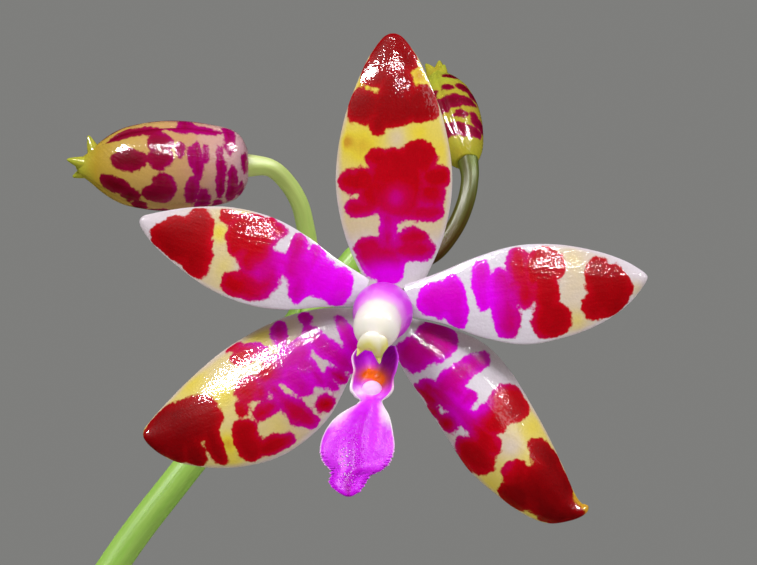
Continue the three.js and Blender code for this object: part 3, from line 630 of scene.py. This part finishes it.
budReds = {0: "#AE009C", 0.3: "#A4006A", 0.55: "#8A0032", 0.8: "#680014", 1: "#4C000A"}
# the buds' grounds, tan to olive, held darker than the tepals': partly their own colour, partly painted
# shade
budGrounds = {0: "#CDA2B2", 0.3: "#C0906C", 0.55: "#BA9650", 0.8: "#B0922E", 1: "#A4AA34"}


def makeBuds():
    material = waxySkin("waxyBud", budReds, budGrounds, "#B0A050")
    for name, bud in buds.items():
        foot, tip = np.array(bud["foot"], float), np.array(bud["tip"], float)
        half = through(bud["half"])

        def outline(t, angle):
            # a circle drawn out a little at the middle of each sepal, with a groove at each seam
            turn = angle - bud["turn"]
            seam = bell(1 - np.abs(np.degrees(turn) % 120 - 60) / 60, budLook["seamWidth"])
            seam = budLook["seamDepth"] * seam * np.clip(4 * t, 0, 1)
            return bud["radius"] * half(t) * (1 + 0.03 * np.cos(3 * turn) - seam)

        path = route([foot, (foot + tip) / 2, tip], 170) + flowerAt
        rings, t, angle = tube(path, outline, 128, bud["start"], closeOver=0.6)
        radius = bud["radius"] * half(t)
        along = t * np.linalg.norm(tip - foot)
        blot = np.full(t.shape, far)
        for turn in (0, 180, -180, 360):
            for at, heading, long, wide in bud["blots"]:
                arc = (angle - np.radians(heading + turn)) * radius
                blot = np.minimum(blot, patchDistance(along, arc, [[at + 0.004 * turn, 0, long, wide]]))
        fields = {
            "blot": blot, "redness": through(bud["rednessAt"])(t), "warmth": through(bud["warmthAt"])(t),
            "front": 1, "along": along, "across": angle * radius,
        }
        skins = [shell(rings, fields)]
        for end in bud["horns"]:
            root = (foot + 0.86 * (tip - foot)) * 0.8 + np.array(end) * 0.2
            path = route([root, (root + end) / 2, end], 24) + flowerAt
            pointed = lambda t, angle: 0.05 + 0.75 * (1 - t) ** 0.8
            horn, t, angle = tube(path, pointed, 20, [0.3, 1, 0.2], 0.05)
            fields = {"blot": 2, "redness": 0.5, "warmth": 0.85 + 0.15 * t, "front": 1, "along": 3 * t,
                      "across": angle * 0.4}
            skins.append(shell(horn, fields))
        makePiece(name, skins, material)


makeBuds()
print("buds made")


# Spike and pedicels

rachis = [
    [-22.45, 16, -21.19], [-17.07, 16, -14.02], [-10.66, 16.4, -6.1], [-4.9, 15.8, 1.1], [-1.6, 16.2, 5.1],
]
spike = {
    "low": [[3, -3, 92], [9, -12, 104], [20, -17, 131], [36, -21, 165], [56, -23, 202]],
    "radius": [1.9, 1.15],
    "joints": [0.28, 0.6],
    "swelling": [0.4, 0.012],  # how much thicker a joint is, and over what share of the length
    "bractSides": [[1, 0, -0.5], [-1, 0, 1], [1, 0, -1]],
}
pedicels = {  # route: from the spike's middle; start: where angle 0 lies; tone: of the green at each end
    "pedicel_flower": {
        "route": [
            rachis[2], [-7.6, 17.4, -5.2], [-3.2, 15.6, -2.3], [-0.6, 11, -0.4], [0, 7, 0], [0, 0.1, 0]],
        "start": [0, 0, 1], "tone": [0.45, 0.85],
        "radius": [[0, 0.8], [0.45, 0.85], [0.62, 1.15], [0.8, 1.35], [0.9, 1.6], [1, 1.6]], "ribs": 0.05,
    },
    "pedicel_bud_left": {
        "route": [
            rachis[3], [-5.9, 15, 4.1], [-6.4, 14, 6.9], [-6.9, 13, 8.9], [-7.9, 12, 10.6],
            [-9.3, 10.8, 11.8], [-11.4, 9.97, 12]],
        "start": [0, 1, 0], "tone": [0.55, 0.8],
        "radius": [[0, 0.75], [0.85, 0.75], [1, 1]], "ribs": 0.03,
    },
    "pedicel_bud_right": {
        "route": [
            rachis[4], [1.4, 17.8, 4], [4.1, 19, 4.7], [6, 19.8, 6.9], [7, 20.3, 9.2], [7.35, 21.1, 11.2],
            [7.2, 22.1, 12.7]],
        # this tone runs from brown to olive: partly the stalk's own colour, partly painted shade
        "start": [0, 1, 0], "tone": [-0.1, 0.12],
        "radius": [[0, 0.75], [0.85, 0.75], [1, 0.9]], "ribs": 0.03,
    },
}


def greenStalk():
    # fresh flower stalk: satin green, finely streaked along its length, browner at joints; the pedicel
    # behind the flower is browner still, partly its own colour and partly painted shade
    material, tree, place = newMaterial("greenStalk")
    fibres = noise(tree, ownPlace(tree, "along", "across"), (0.12, 1.6, 1), 3)
    green = ramp(tree, readTone(tree, "tone", fibres, 0.22), {
        0: "#4A2E08", 0.25: "#62802A", 0.5: "#92C050", 0.75: "#C8DC80", 1: "#E6D8C0"})
    return finish(material, green, {"Roughness": 0.42, "Specular IOR Level": 0.15}, fibres, 0.4, 0.0001)


def makeStalks():
    material = greenStalk()
    thick, thin = spike["radius"]
    path = route(spike["low"] + [np.array(p) + flowerAt for p in rachis], 900)
    joints, (swelling, reach) = spike["joints"], spike["swelling"]

    def radiusAt(t, angle):
        # thinning evenly, with a swelling at each joint
        return thick + (thin - thick) * t + swelling * sum(bell(t - at, reach) for at in joints)

    rings, t, angle = tube(path, radiusAt, 32, np.cross(path[-1] - path[0], [0, 0, 1]), closeOver=1.0)
    tone = 0.36 + 0.16 * np.clip(t / 0.75, 0, 1) - 0.12 * sum(bell(t - at, 0.006) for at in joints)
    skins = [shell(rings, {"tone": tone, "along": t * runOf(path)[-1], "across": angle * 1.5})]

    ways = unit(np.gradient(path, axis=0))
    share = np.linspace(0, 1, len(path))
    places = [(joints[0], 10, 6, [0, 0, 1]), (joints[1], 8, 5, [1, 0, -1])]
    for node, heading in zip(rachis[2:], spike["bractSides"]):
        nearest = share[np.linalg.norm(path - flowerAt - node, axis=1).argmin()]
        places.append((nearest - 0.017, 3.6, 3.2, heading))
    for at, long, width, heading in places:
        foot, along = (
            np.array([np.interp(at, share, column) for column in rows.T]) for rows in (path, ways))
        along = unit(along)
        away = unit(np.array(heading, float) - np.dot(heading, along) * along)
        beside = np.cross(along, away)
        near = thick + (thin - thick) * at

        def scale(t, s):
            # the scale's flanks clasp the spike and its tip lifts off it
            out = near + 0.1 + 0.16 * long * t * t
            turn = s * (width * (1 - t**1.7) + 0.3) / (2 * out)
            return (foot + along * (long * t)[..., None] + away * (out * np.cos(turn))[..., None]
                    + beside * (out * np.sin(turn))[..., None])

        points, t, s, facing = blade(scale, lambda t, s: 0.55 - 0.2 * s * s, 40, 40, tip=0.08, foot=0.05)
        tone = 0.5 - 0.28 * t**2 + 0.06 * np.abs(s)
        skins.append(shell(points, {"tone": tone, "along": long * t, "across": s * width / 2}))
    makePiece("flower_spike", skins, material)

    for name, pedicel in pedicels.items():
        thickness = through(pedicel["radius"])
        low, high = pedicel["tone"]

        def ribbed(t, angle):
            # six low ribs that wind round the stalk
            return thickness(t) * (1 + pedicel["ribs"] * np.cos(6 * angle + 7.2 * t))

        rings, t, angle = tube(route(pedicel["route"], 160) + flowerAt, ribbed, 48, pedicel["start"])
        fields = {"tone": low + (high - low) * t, "along": t * 20, "across": angle * 0.8}
        makePiece(name, [shell(rings, fields)], material)


makeStalks()
print("spike and pedicels made")


# Column, anther cap and lip

column = {
    "route": [[0, -0.2, 0], [-0.1, -1.8, -0.1], [-0.3, -3.4, -0.5], [-0.5, -5, -1.1], [-0.62, -6.7, -1.9]],
    "radius": [
        [0, 2.4], [0.16, 2.36], [0.36, 2.1], [0.5, 1.82], [0.68, 1.86], [0.84, 1.72], [0.94, 1.2], [1, 0.5],
    ],
    "paleAt": [[0, 0.1], [0.2, 0.16], [0.38, 0.3], [0.5, 0.48], [0.6, 0.7], [0.8, 0.75], [1, 0.8]],
}
antherReach = [
    [-1, 2.15], [-0.8, 1.85], [-0.45, 1.45], [-0.15, 1.35], [0.15, 1.9], [0.48, 2.6], [0.66, 1.8], [1, 1.25],
]


def flowerHeart():
    # the column: smooth moist tissue, magenta at its foot, fading through pink to a waxy ivory tip
    material, tree, place = newMaterial("waxyColumn")
    cloud = noise(tree, place, 700, 2)
    tint = ramp(tree, readTone(tree, "pale", cloud, 0.16), {
        0: "#C41CDC", 0.25: "#DA4CEA", 0.45: "#EC9CF0", 0.72: "#F4ECEC", 0.86: "#F4EED8", 1: "#EAE080"})
    return finish(material, tint, {
        "Roughness": 0.3, "IOR": 1.45, "Subsurface Weight": 0.15,
        "Subsurface Radius": (0.001, 0.0006, 0.0008),
    }, cloud, 0.38, 0.0001)


def makeColumn():
    material = flowerHeart()
    radius, pale = through(column["radius"]), through(column["paleAt"])
    path = route(column["route"], 90) + flowerAt
    rings, t, angle = tube(path, lambda t, angle: radius(t), 80, [0, 0, 1], closeOver=0.9)
    makePiece("column", [shell(rings, {"pale": pale(t)})], material)

    reach = through(antherReach)

    def plate(t, s):
        # a curved plate lying on the front of the column's tip, an ellipsoid; its lower edge hangs free
        # and runs out into two teeth
        x, z = -0.85 + (1.06 + 0.2 * t) * s, -1.5 - t * reach(s)
        q = 1 - ((x + 0.56) / 1.95) ** 2 - ((z + 1.3) / 2.25) ** 2
        front = (1.6 + 0.36 * t - 0.25 * s**4) * np.sqrt(np.maximum(q, 0.1))
        return flowerAt + np.stack([x, -5.2 - front, z], -1)

    points, t, s, facing = blade(plate, lambda t, s: 0.5 - 0.25 * t, 60, 90, rim=0.4, tip=0.1, foot=0.6)
    cap = shell(points, {"pale": 0.78 + 0.22 * rise(t, 0, 0.7)})
    makePiece("anther_cap", [cap], material)


makeColumn()

# each row: [drop below the flower's middle, X of the midline, half width, Y of the midline, how far the
# edges stand forward]
lipRows = [
    [2.75, -0.5, 1.5, -1.1, 0.9], [3.5, -0.62, 1.82, -1.7, 2.2], [4.6, -0.64, 1.65, -2.4, 2.2],
    [5.2, -0.82, 1.62, -2.8, 1.7], [6.1, -0.9, 1.68, -3.5, 1.3], [6.6, -0.9, 1.35, -3.9, 0.7],
    [7.05, -0.96, 0.9, -4.2, 0.1], [8.24, -1.56, 2.04, -4.9, -0.5], [9.44, -1.9, 2.66, -5.5, -0.8],
    [10.8, -2.04, 2.92, -6.3, -0.9], [11.8, -2.1, 2.6, -6.8, -0.8], [12.3, -2.1, 2.1, -7.1, -0.7],
    [12.75, -2.5, 1.55, -7.3, -0.5], [13.4, -2.8, 1.36, -7.6, -0.4], [14, -2.72, 0.9, -7.9, -0.1],
    [14.42, -2.7, 0.25, -8, 0],
]
callus = [[-1.3, -5.05, 0.6, 1], [-0.25, -5.4, 0.6, 1], [-0.88, -6.25, 0.85, 0]]  # X, Z, radius, orange


def velvetLip():
    # the lip: glowing violet-magenta with a soft sheen, partly painted sheen on the lobe's shoulders,
    # whitish warts down the lobe's middle, and orange on the two swellings in the trough
    material, tree, place = newMaterial("velvetLip")
    grain = noise(tree, place, 2600, 2)
    warts = addNode(tree, "TexVoronoi", {"Vector": place, "Scale": 4200})  # 0.25 mm apart
    raised = scaled(tree, mapped(tree, warts.outputs["Distance"], 0.42, 0.15), readField(tree, "warty"))
    tint = ramp(tree, scaled(tree, raised, 0.55, readTone(tree, "pale", grain, 0.16)), {
        0: "#6C0454", 0.2: "#A404A4", 0.4: "#C60CE0", 0.6: "#D83CF0", 0.8: "#ECB0F0", 1: "#F8F0F6"})
    skin = blend(tree, readField(tree, "orange"), tint, "#F26A08")
    height = scaled(tree, raised, 2.2, scaled(tree, grain, 0.5))
    return finish(material, skin, {"Roughness": 0.4, "Specular IOR Level": 0.06}, height, 0.6, 0.00014)


def makeLip():
    rows = np.array(lipRows)
    middle, half, depth, lift = (through(rows[:, [0, k]]) for k in (1, 2, 3, 4))

    def sheet(t, s):
        # the trough's flanks stand forward as a power of s; the lobe has a ridge down its midline, shallow
        # folds, and a ragged edge made of three sines that don't repeat together
        drop = rows[0, 0] + (rows[-1, 0] - rows[0, 0]) * t
        ragged = np.sin(drop * 19) + np.sin(drop * 31 + s) + np.sin(drop * 47 + 2 * s)
        teeth = 0.07 * ragged * rise(drop, 10.5, 12) * rise(drop, 14.3, 13.9) * np.abs(s) ** 8
        lobe = np.sin(rise(drop, 7, 14) * np.pi)
        ridge = 0.4 * bell(s, 0.22) * lobe + 0.1 * np.sin(s * 9 + drop) * lobe * np.abs(s)
        x = middle(drop) + (half(drop) + teeth) * s
        return flowerAt + np.stack([x, depth(drop) - lift(drop) * np.abs(s) ** 2.4 - ridge, -drop], -1)

    points, t, s, facing = blade(sheet, lambda t, s: 0.55 - 0.3 * s * s, 260, 150, rim=0.25, tip=0.012)
    drop = rows[0, 0] + (rows[-1, 0] - rows[0, 0]) * t
    x = middle(drop) + half(drop) * s
    trough = rise(drop, 7, 6.5)
    # paler where the lobe's shoulders face the light: painted sheen
    shoulderSheen = bell(drop - 8.1, 1.1) * rise(np.abs(s), 0.45, 0.85)
    edge = rise(np.abs(s), 0.93, 1)
    centre = bell(s, 0.24) * rise(drop, 7.3, 8.3)
    lobe = 0.5 - 0.16 * centre + 0.45 * shoulderSheen + 0.4 * edge - 0.12 * rise(drop, 12, 14)
    inner = 0.42 - 0.26 * np.clip(2 * s, 0, 1) + 0.42 * rise(drop, 5.2, 6.4) + 0.45 * edge
    spots = bell(x + 1.35, 0.8) * bell(drop - 5, 0.55) + bell(x + 0.15, 0.7) * bell(drop - 5.4, 0.75)
    fields = {
        "pale": inner * trough + lobe * (1 - trough),
        "orange": np.clip(1.3 * spots, 0, 1) * trough,
        "warty": bell(x + 2.7, 0.75) * rise(drop, 9, 11) * rise(drop, 14, 13),
    }
    skins = [shell(points, fields)]
    for x, z, radius, orange in callus:
        rows, turn = np.meshgrid(np.linspace(-1.5, 1.5, 30), turnOf(40), indexing="ij")
        ball = [np.cos(rows) * np.cos(turn), 0.35 * np.sin(rows), np.cos(rows) * np.sin(turn)]
        ball = radius * np.stack(ball, -1) + flowerAt + [x, depth(-z) - 0.1 - 0.2 * (orange == 0), z]
        skins.append(shell(ball, {"pale": 0.86, "orange": orange, "warty": 0}))
    makePiece("lip", skins, velvetLip())


makeLip()
print("column, anther cap and lip made")


# Leaves, stem and roots

leaves = {  # side along X, height of the foot, length, width, midrib's slope at both ends, heading, tilt
    "leaf_1": [1, 88, 148, 56, 24, -36, -15, 0.1],
    "leaf_2": [-1, 90, 160, 60, 27, -38, -10, -0.12],
    "leaf_3": [1, 97, 163.3, 60, 47, -24, 8, -0.06],
    "leaf_4": [-1, 100, 146, 57, 52, -16, 10, 0.08],
    "leaf_5": [1, 107, 84, 34, 68, 22, 20, 0.04],
}
leafHalf = through([
    [0, 0.34], [0.1, 0.37], [0.25, 0.6], [0.45, 0.9], [0.62, 1], [0.8, 0.9], [0.92, 0.6], [1, 0.1],
])
leafLook = {"wave": 0.5, "waveLength": 34, "keel": 0.5}  # mm: the margin's waves, the rib under the midline


def leatheryLeaf():
    # fleshy leaf: deep green, a low gloss, faint veins along it, paler at midrib, edge and underside
    material, tree, place = newMaterial("leatheryLeaf")
    veins = noise(tree, ownPlace(tree, "along", "across"), (0.02, 0.55, 1), 4)
    cloud = noise(tree, place, 45, 4)
    tone = scaled(tree, cloud, 0.3, readTone(tree, "tone", veins, 0.3))
    green = ramp(tree, tone, {0.15: "#1E4A1A", 0.4: "#2F6A26", 0.6: "#478034", 0.8: "#7E9E48", 1: "#B2B45E"})
    height = scaled(tree, noise(tree, place, 900, 2), 0.25, veins)
    rough = mapped(tree, cloud, 0.3, 0.7, 0.3, 0.48)
    return finish(material, green, {"Roughness": rough, "IOR": 1.45}, height, 0.5, 0.0004)


def makeLeaves():
    material = leatheryLeaf()
    for name, (side, height, length, width, up, fall, heading, roll) in leaves.items():
        start, sweep, turn = np.radians([up, fall - up, heading])
        out = np.array([side * np.cos(turn), side * np.sin(turn), 0])
        beside = np.cross([0, 0, 1], out)

        def surface(t, s):
            # the midrib is an arc; the halves fold up from it, less and less towards the tip
            slope = start + sweep * t
            reach = length * (np.sin(slope) - np.sin(start)) / sweep
            climb = length * (np.cos(start) - np.cos(slope)) / sweep
            half = width / 2 * leafHalf(t)
            fold = np.radians(9 + 41 * (1 - t) ** 2.2)
            valley = np.sqrt(s * s + 0.012) - 0.11
            wave = s**4 * np.sin(2 * np.pi * t * length / leafLook["waveLength"] + 2 * s + turn)
            wave = leafLook["wave"] * wave * rise(t, 0.25, 0.5)
            raised = half * (valley * np.sin(fold) - 0.1 * t * s * s + roll * s * t) + wave
            upright = rise(t, 0, 0.2)
            back = slope * upright * upright * (3 - 2 * upright)
            along = 0.8 + reach - raised * np.sin(back)
            above = height + climb + raised * np.cos(back)
            return (out * along[..., None] + beside * (s * half * np.cos(fold))[..., None]
                    + [0, 0, 1] * above[..., None])

        thickness = lambda t, s: (2.6 - 1.2 * s * s) * (1 - 0.35 * t)
        points, t, s, facing = blade(surface, thickness, 150, 100, rim=0.45, tip=0.015)
        under = facing[..., 2] < 0
        points[..., 2] -= under * leafLook["keel"] * bell(s, 0.06) * (1 - t)
        rib = bell(s, 0.035) * (1 - 0.7 * t)
        tone = 0.22 + 0.2 * under + 0.18 * rib + 0.2 * rise(np.abs(s), 0.95, 1) + 0.12 * (1 - t) ** 6
        fields = {"tone": tone, "along": t * length, "across": s * width / 2 * leafHalf(t)}
        makePiece(name, [shell(points, fields)], material)


makeLeaves()
print("leaves made")

stem = {"foot": 62, "top": 112, "wide": 6.6, "deep": 5.2, "collars": 5}
stemSize = through([[0, 0.9], [0.35, 1.05], [0.6, 1], [0.85, 0.72], [1, 0.4]])
roots = {
    "root_over_rim_left": [[-4, -3, 86], [-17, -15, 96], [-30, -26, 102], [-42, -37, 99], [-48, -42, 84],
                           [-50, -43, 62], [-46, -41, 40]],
    "root_over_rim_back": [[3, 3, 84], [16, 20, 95], [26, 35, 102], [35, 47, 98], [39, 52, 82],
                           [38, 53, 64]],
    "root_front": [[3, -4, 84], [10, -17, 92], [17, -27, 90], [21, -31, 82], [22, -32, 72]],
    "root_back": [[-1, 4, 84], [-3, 17, 91], [-8, 28, 90], [-11, 34, 82], [-12, 35, 72]],
    "root_left": [[-5, 1, 80], [-17, 7, 90], [-28, 13, 89], [-33, 16, 82], [-34, 17, 72]],
}
rootLook = {"radius": 2.2, "lumps": 0.09, "tipLength": 11}


def dryStem():
    # old leaf bases: dull green fading to papery brown, fibrous along their length
    material, tree, place = newMaterial("fibrousStem")
    fibres = noise(tree, place, (900, 900, 60), 3)
    tint = ramp(tree, readTone(tree, "tone", fibres, 0.5), {
        0: "#4A3A22", 0.35: "#8A7448", 0.6: "#8C9650", 1: "#6E9448"})
    return finish(material, tint, {"Roughness": 0.7}, fibres, 0.6, 0.0004)


def silverRoot():
    # aerial root: a spongy silver-grey skin, chalky and finely wrinkled, glossy green only at a growing tip
    material, tree, place = newMaterial("silverRoot")
    wrinkles = noise(tree, ownPlace(tree, "along", "across"), (0.35, 1.2, 1), 4)
    stains = noise(tree, place, 90, 4)
    grey = ramp(tree, stains, {0.3: "#7C8A62", 0.45: "#AAB092", 0.55: "#C6C8B4", 0.75: "#DAD8CA"})
    fresh = readField(tree, "fresh")
    skin = blend(tree, fresh, grey, "#6E8C2E")
    return finish(material, skin, {"Roughness": mapped(tree, fresh, 0, 1, 0.8, 0.35)}, wrinkles, 0.6, 0.0004)


def makeStemAndRoots():
    path = np.array([[0, 0, 1]]) * np.linspace(stem["foot"], stem["top"], 130)[:, None]
    rings, t, angle = tube(path, lambda t, angle: 1 + 0 * t, 60, [1, 0, 0])
    collar = 1 - (t * stem["collars"]) % 1  # each leaf scar flares towards its top edge
    size = stemSize(t) * (1 + 0.05 * collar**3)
    rings[..., :2] *= size[..., None] * [stem["wide"], stem["deep"]]
    makePiece("stem", [shell(rings, {"tone": 0.25 + 0.75 * t})], dryStem())

    material = silverRoot()
    for number, (name, points) in enumerate(roots.items()):
        path = route(points, 220)
        length = runOf(path)[-1]
        start = np.cross(path[-1] - path[0], [0, 0, 1])
        rings, t, angle = tube(path, lambda t, angle: rootLook["radius"] * (1 - 0.25 * t**6), 30, start, 2.2)
        lumps = unevenness(rings, 9, 40 + number) + 0.5 * unevenness(rings, 3, 60 + number)
        lumps = rootLook["lumps"] * lumps * (1 - t**8)
        rings = path[:, None] + (rings - path[:, None]) * (1 + lumps)[..., None]
        left = (1 - t) * length / rootLook["tipLength"]
        fresh = np.clip(1.3 - 1.3 * left, 0, 1) * ("over_rim" in name)
        fields = {"fresh": fresh, "along": t * length, "across": angle * rootLook["radius"]}
        makePiece(name, [shell(rings, fields)], material)


makeStemAndRoots()
print("stem and roots made")


# Pot and bark

pot = {"height": 96, "foot": 36, "rim": 55, "wall": 5, "floor": 7, "collar": 21, "collarStep": 3, "drain": 9,
       "rounding": 1.7, "wobble": 0.16}
bark = {"top": 83, "chips": 42, "length": 20, "width": 14, "thickness": 6, "seed": 11, "small": 70,
        "goldenTurn": 2.39996}  # radians from each chip to the next


def outerAt(z):
    return pot["foot"] + (pot["rim"] - pot["collarStep"] - pot["foot"]) * z / pot["height"]


def firedClay():
    # unglazed clay: matt and grainy, faint throwing rings, darker where damp and dusted white with salts
    material, tree, place = newMaterial("firedClay")
    grain = noise(tree, place, 1400, 2)
    tone = scaled(tree, noise(tree, place, 28, 5), 1, scaled(tree, grain, 0.25, -0.12))
    tint = ramp(tree, tone, {0.25: "#8E4A2C", 0.45: "#B5643C", 0.6: "#C47A50", 0.8: "#CC8E66"})
    salts = scaled(tree, noise(tree, place, 60, 6, 0.65), 1, readField(tree, "salts"))
    skin = blend(tree, mapped(tree, salts, 0.58, 0.85, 0, 0.6), tint, "#DCCDBC")
    rings = noise(tree, place, (6, 6, 420), 2)
    return finish(material, skin, {"Roughness": 0.9}, scaled(tree, grain, 0.5, rings), 0.55, 0.0005)


def makePot():
    # the wall's outline, each corner drawn as a curve between two points beside it, turned about the axis
    top, step, drain, bottom = pot["height"], pot["collarStep"], pot["drain"], pot["floor"]
    low = top - pot["collar"]
    corners = np.array([
        [drain, 0], [pot["foot"], 0], [outerAt(low), low], [outerAt(low) + step, low + 0.7],
        [pot["rim"], top], [outerAt(top) - pot["wall"], top], [outerAt(bottom) - pot["wall"], bottom],
        [drain, bottom],
    ])
    before, after = unit(np.roll(corners, 1, 0) - corners), unit(np.roll(corners, -1, 0) - corners)
    u = np.linspace(0, 1, 7)[None, :, None]
    reach = pot["rounding"] * np.array([0.6, 1, 0.35, 0.9, 1.2, 1.2, 1, 0.6])[:, None, None]
    loop = corners[:, None] + reach * (before[:, None] * (1 - u) ** 2 + after[:, None] * u**2)
    loop = np.vstack([loop.reshape(-1, 2), loop[0, :1]])
    run = runOf(loop)
    r, z = placesOn(loop, np.unique([*np.linspace(0, run[-1], 120, endpoint=False), *run[:-1]])).T
    turn = turnOf(180)[:, None]
    points = np.stack([r * np.cos(turn), r * np.sin(turn), z + 0 * turn], -1)
    wobble = pot["wobble"] * (r > outerAt(z) - 0.5) * unevenness(points, 40, 5)  # outside only
    points[..., :2] *= (1 + wobble / r)[..., None]
    salts = 0.16 * bell(z, 16) + 0.12 * bell(z - top, 8) - 0.02
    makePiece("pot", [shell(points, {"salts": salts}, wrap=True)], firedClay())


makePot()
print("pot made")


def barkChips():
    # conifer bark: dry and rough, red-brown layers with dark cracks, pale dusty cork on some faces
    material, tree, place = newMaterial("barkChips")
    grain = ownPlace(tree, "grainX", "grainY", "grainZ")
    layers, crumbs = noise(tree, grain, (0.16, 0.8, 1.3), 5), noise(tree, grain, 1.6, 4)
    tint = ramp(tree, scaled(tree, layers, 1, readTone(tree, "tone", crumbs, 0.4)), {
        0.25: "#2A1710", 0.45: "#573420", 0.58: "#7C4E30", 0.72: "#9A6C48", 0.9: "#B89878"})
    return finish(material, tint, {"Roughness": 0.95}, scaled(tree, crumbs, 0.5, layers), 0.9, 0.0012)


def repeatable(seed):
    # the same run of numbers from 0 to 1 each time: state times 1664525 plus 1013904223, modulo 2**32
    state = seed
    while True:
        state = (state * 1664525 + 1013904223) % 2**32
        yield state / 2**32


def turned(angles):
    # the turns about X, then Y, then Z, as one matrix
    a, b, c = angles
    aboutX = np.array([[1, 0, 0], [0, np.cos(a), -np.sin(a)], [0, np.sin(a), np.cos(a)]])
    aboutY = np.array([[np.cos(b), 0, np.sin(b)], [0, 1, 0], [-np.sin(b), 0, np.cos(b)]])
    aboutZ = np.array([[np.cos(c), -np.sin(c), 0], [np.sin(c), np.cos(c), 0], [0, 0, 1]])
    return aboutZ @ aboutY @ aboutX


def makeBark():
    numbers = repeatable(bark["seed"])
    centred = lambda size: (next(numbers) - 0.5) * size
    power = lambda v, e: np.sign(v) * np.abs(v) ** e  # low powers square the round section off
    innerTop = outerAt(bark["top"]) - pot["wall"]
    sizes = np.array([bark["length"], bark["width"], bark["thickness"]])
    random = np.random.default_rng(bark["seed"])
    skins = []
    for number in range(bark["chips"] + bark["small"]):
        if number < bark["chips"]:  # these lie where the solids' chips do
            size = np.array([length * (0.7 + 0.6 * next(numbers)) for length in sizes])
            angles = centred(1.1), centred(1.1), centred(6.2)
            away = (innerTop - 7) * np.sqrt((number + 0.5) / bark["chips"])
            turn = number * bark["goldenTurn"]
            height = centred(3)
        else:
            size = sizes * random.uniform(0.3, 0.6, 3)
            angles = random.uniform(-0.8, 0.8), random.uniform(-0.8, 0.8), random.uniform(-3, 3)
            away, turn = (innerTop - 5) * np.sqrt(random.random()), random.uniform(0, 6.283)
            height = random.uniform(-1, 2.5)
        centre = np.array([away * np.cos(turn), away * np.sin(turn), bark["top"] + height])
        rows, angle = np.meshgrid(np.linspace(-1.5, 1.5, 17), turnOf(28), indexing="ij")
        ring = power(np.cos(rows), 0.35)
        across = ring * power(np.cos(angle), 0.4)
        local = np.stack([power(np.sin(rows), 0.35), across, ring * power(np.sin(angle), 0.5)], -1)
        skew = random.uniform(-0.25, 0.25, 4)
        local[..., 1] *= 1 + skew[0] * local[..., 0]
        local[..., 2] *= 1 + skew[1] * local[..., 0] + skew[2] * local[..., 1]
        local[..., 0] += skew[3] * local[..., 1]
        local = local * size / 2
        rough = 2 * unevenness(local, 6, 100 + number) + unevenness(local * [1, 2, 3], 2.5, 300 + number)
        local = local * (1 + 0.0225 * rough[..., None])
        points = local @ turned(angles).T + centre
        away = np.linalg.norm(points[..., :2], axis=-1)
        limit = outerAt(points[..., 2]) - pot["wall"] - 0.5
        points[..., :2] *= np.minimum(1, limit / np.maximum(away, 1e-6))[..., None]
        grain = local + np.array([1, 1, 0]) * random.uniform(0, 300)
        skins.append(barkShell(points, grain, random.uniform(-0.12, 0.14)))
    inner = outerAt(pot["floor"]) - pot["wall"] - 1
    r = [0.5, inner - 1, inner, *np.linspace(inner, innerTop - 1, 20), *np.linspace(innerTop - 2, 1, 40)]
    z = [7.3, 7.3, 8, *np.linspace(9, bark["top"] - 3, 20), *([bark["top"] - 2.5] * 40)]
    turn, r, z = turnOf(120), np.array(r)[:, None], np.array(z)[:, None]
    bed = np.stack([r * np.cos(turn), r * np.sin(turn), z + 0 * turn], -1)
    bed[..., 2] += 1.1 * (unevenness(bed, 7, 9) + 0.6 * unevenness(bed, 3, 10)) * (z > bark["top"] - 4)
    skins.append(barkShell(bed, bed, -0.15))
    makePiece("bark", skins, barkChips(), ending="_chips")


def barkShell(points, grain, tone):
    return shell(points, {"tone": tone, **{"grain" + "XYZ"[k]: grain[..., k] for k in range(3)}})


makeBark()
print("bark made")
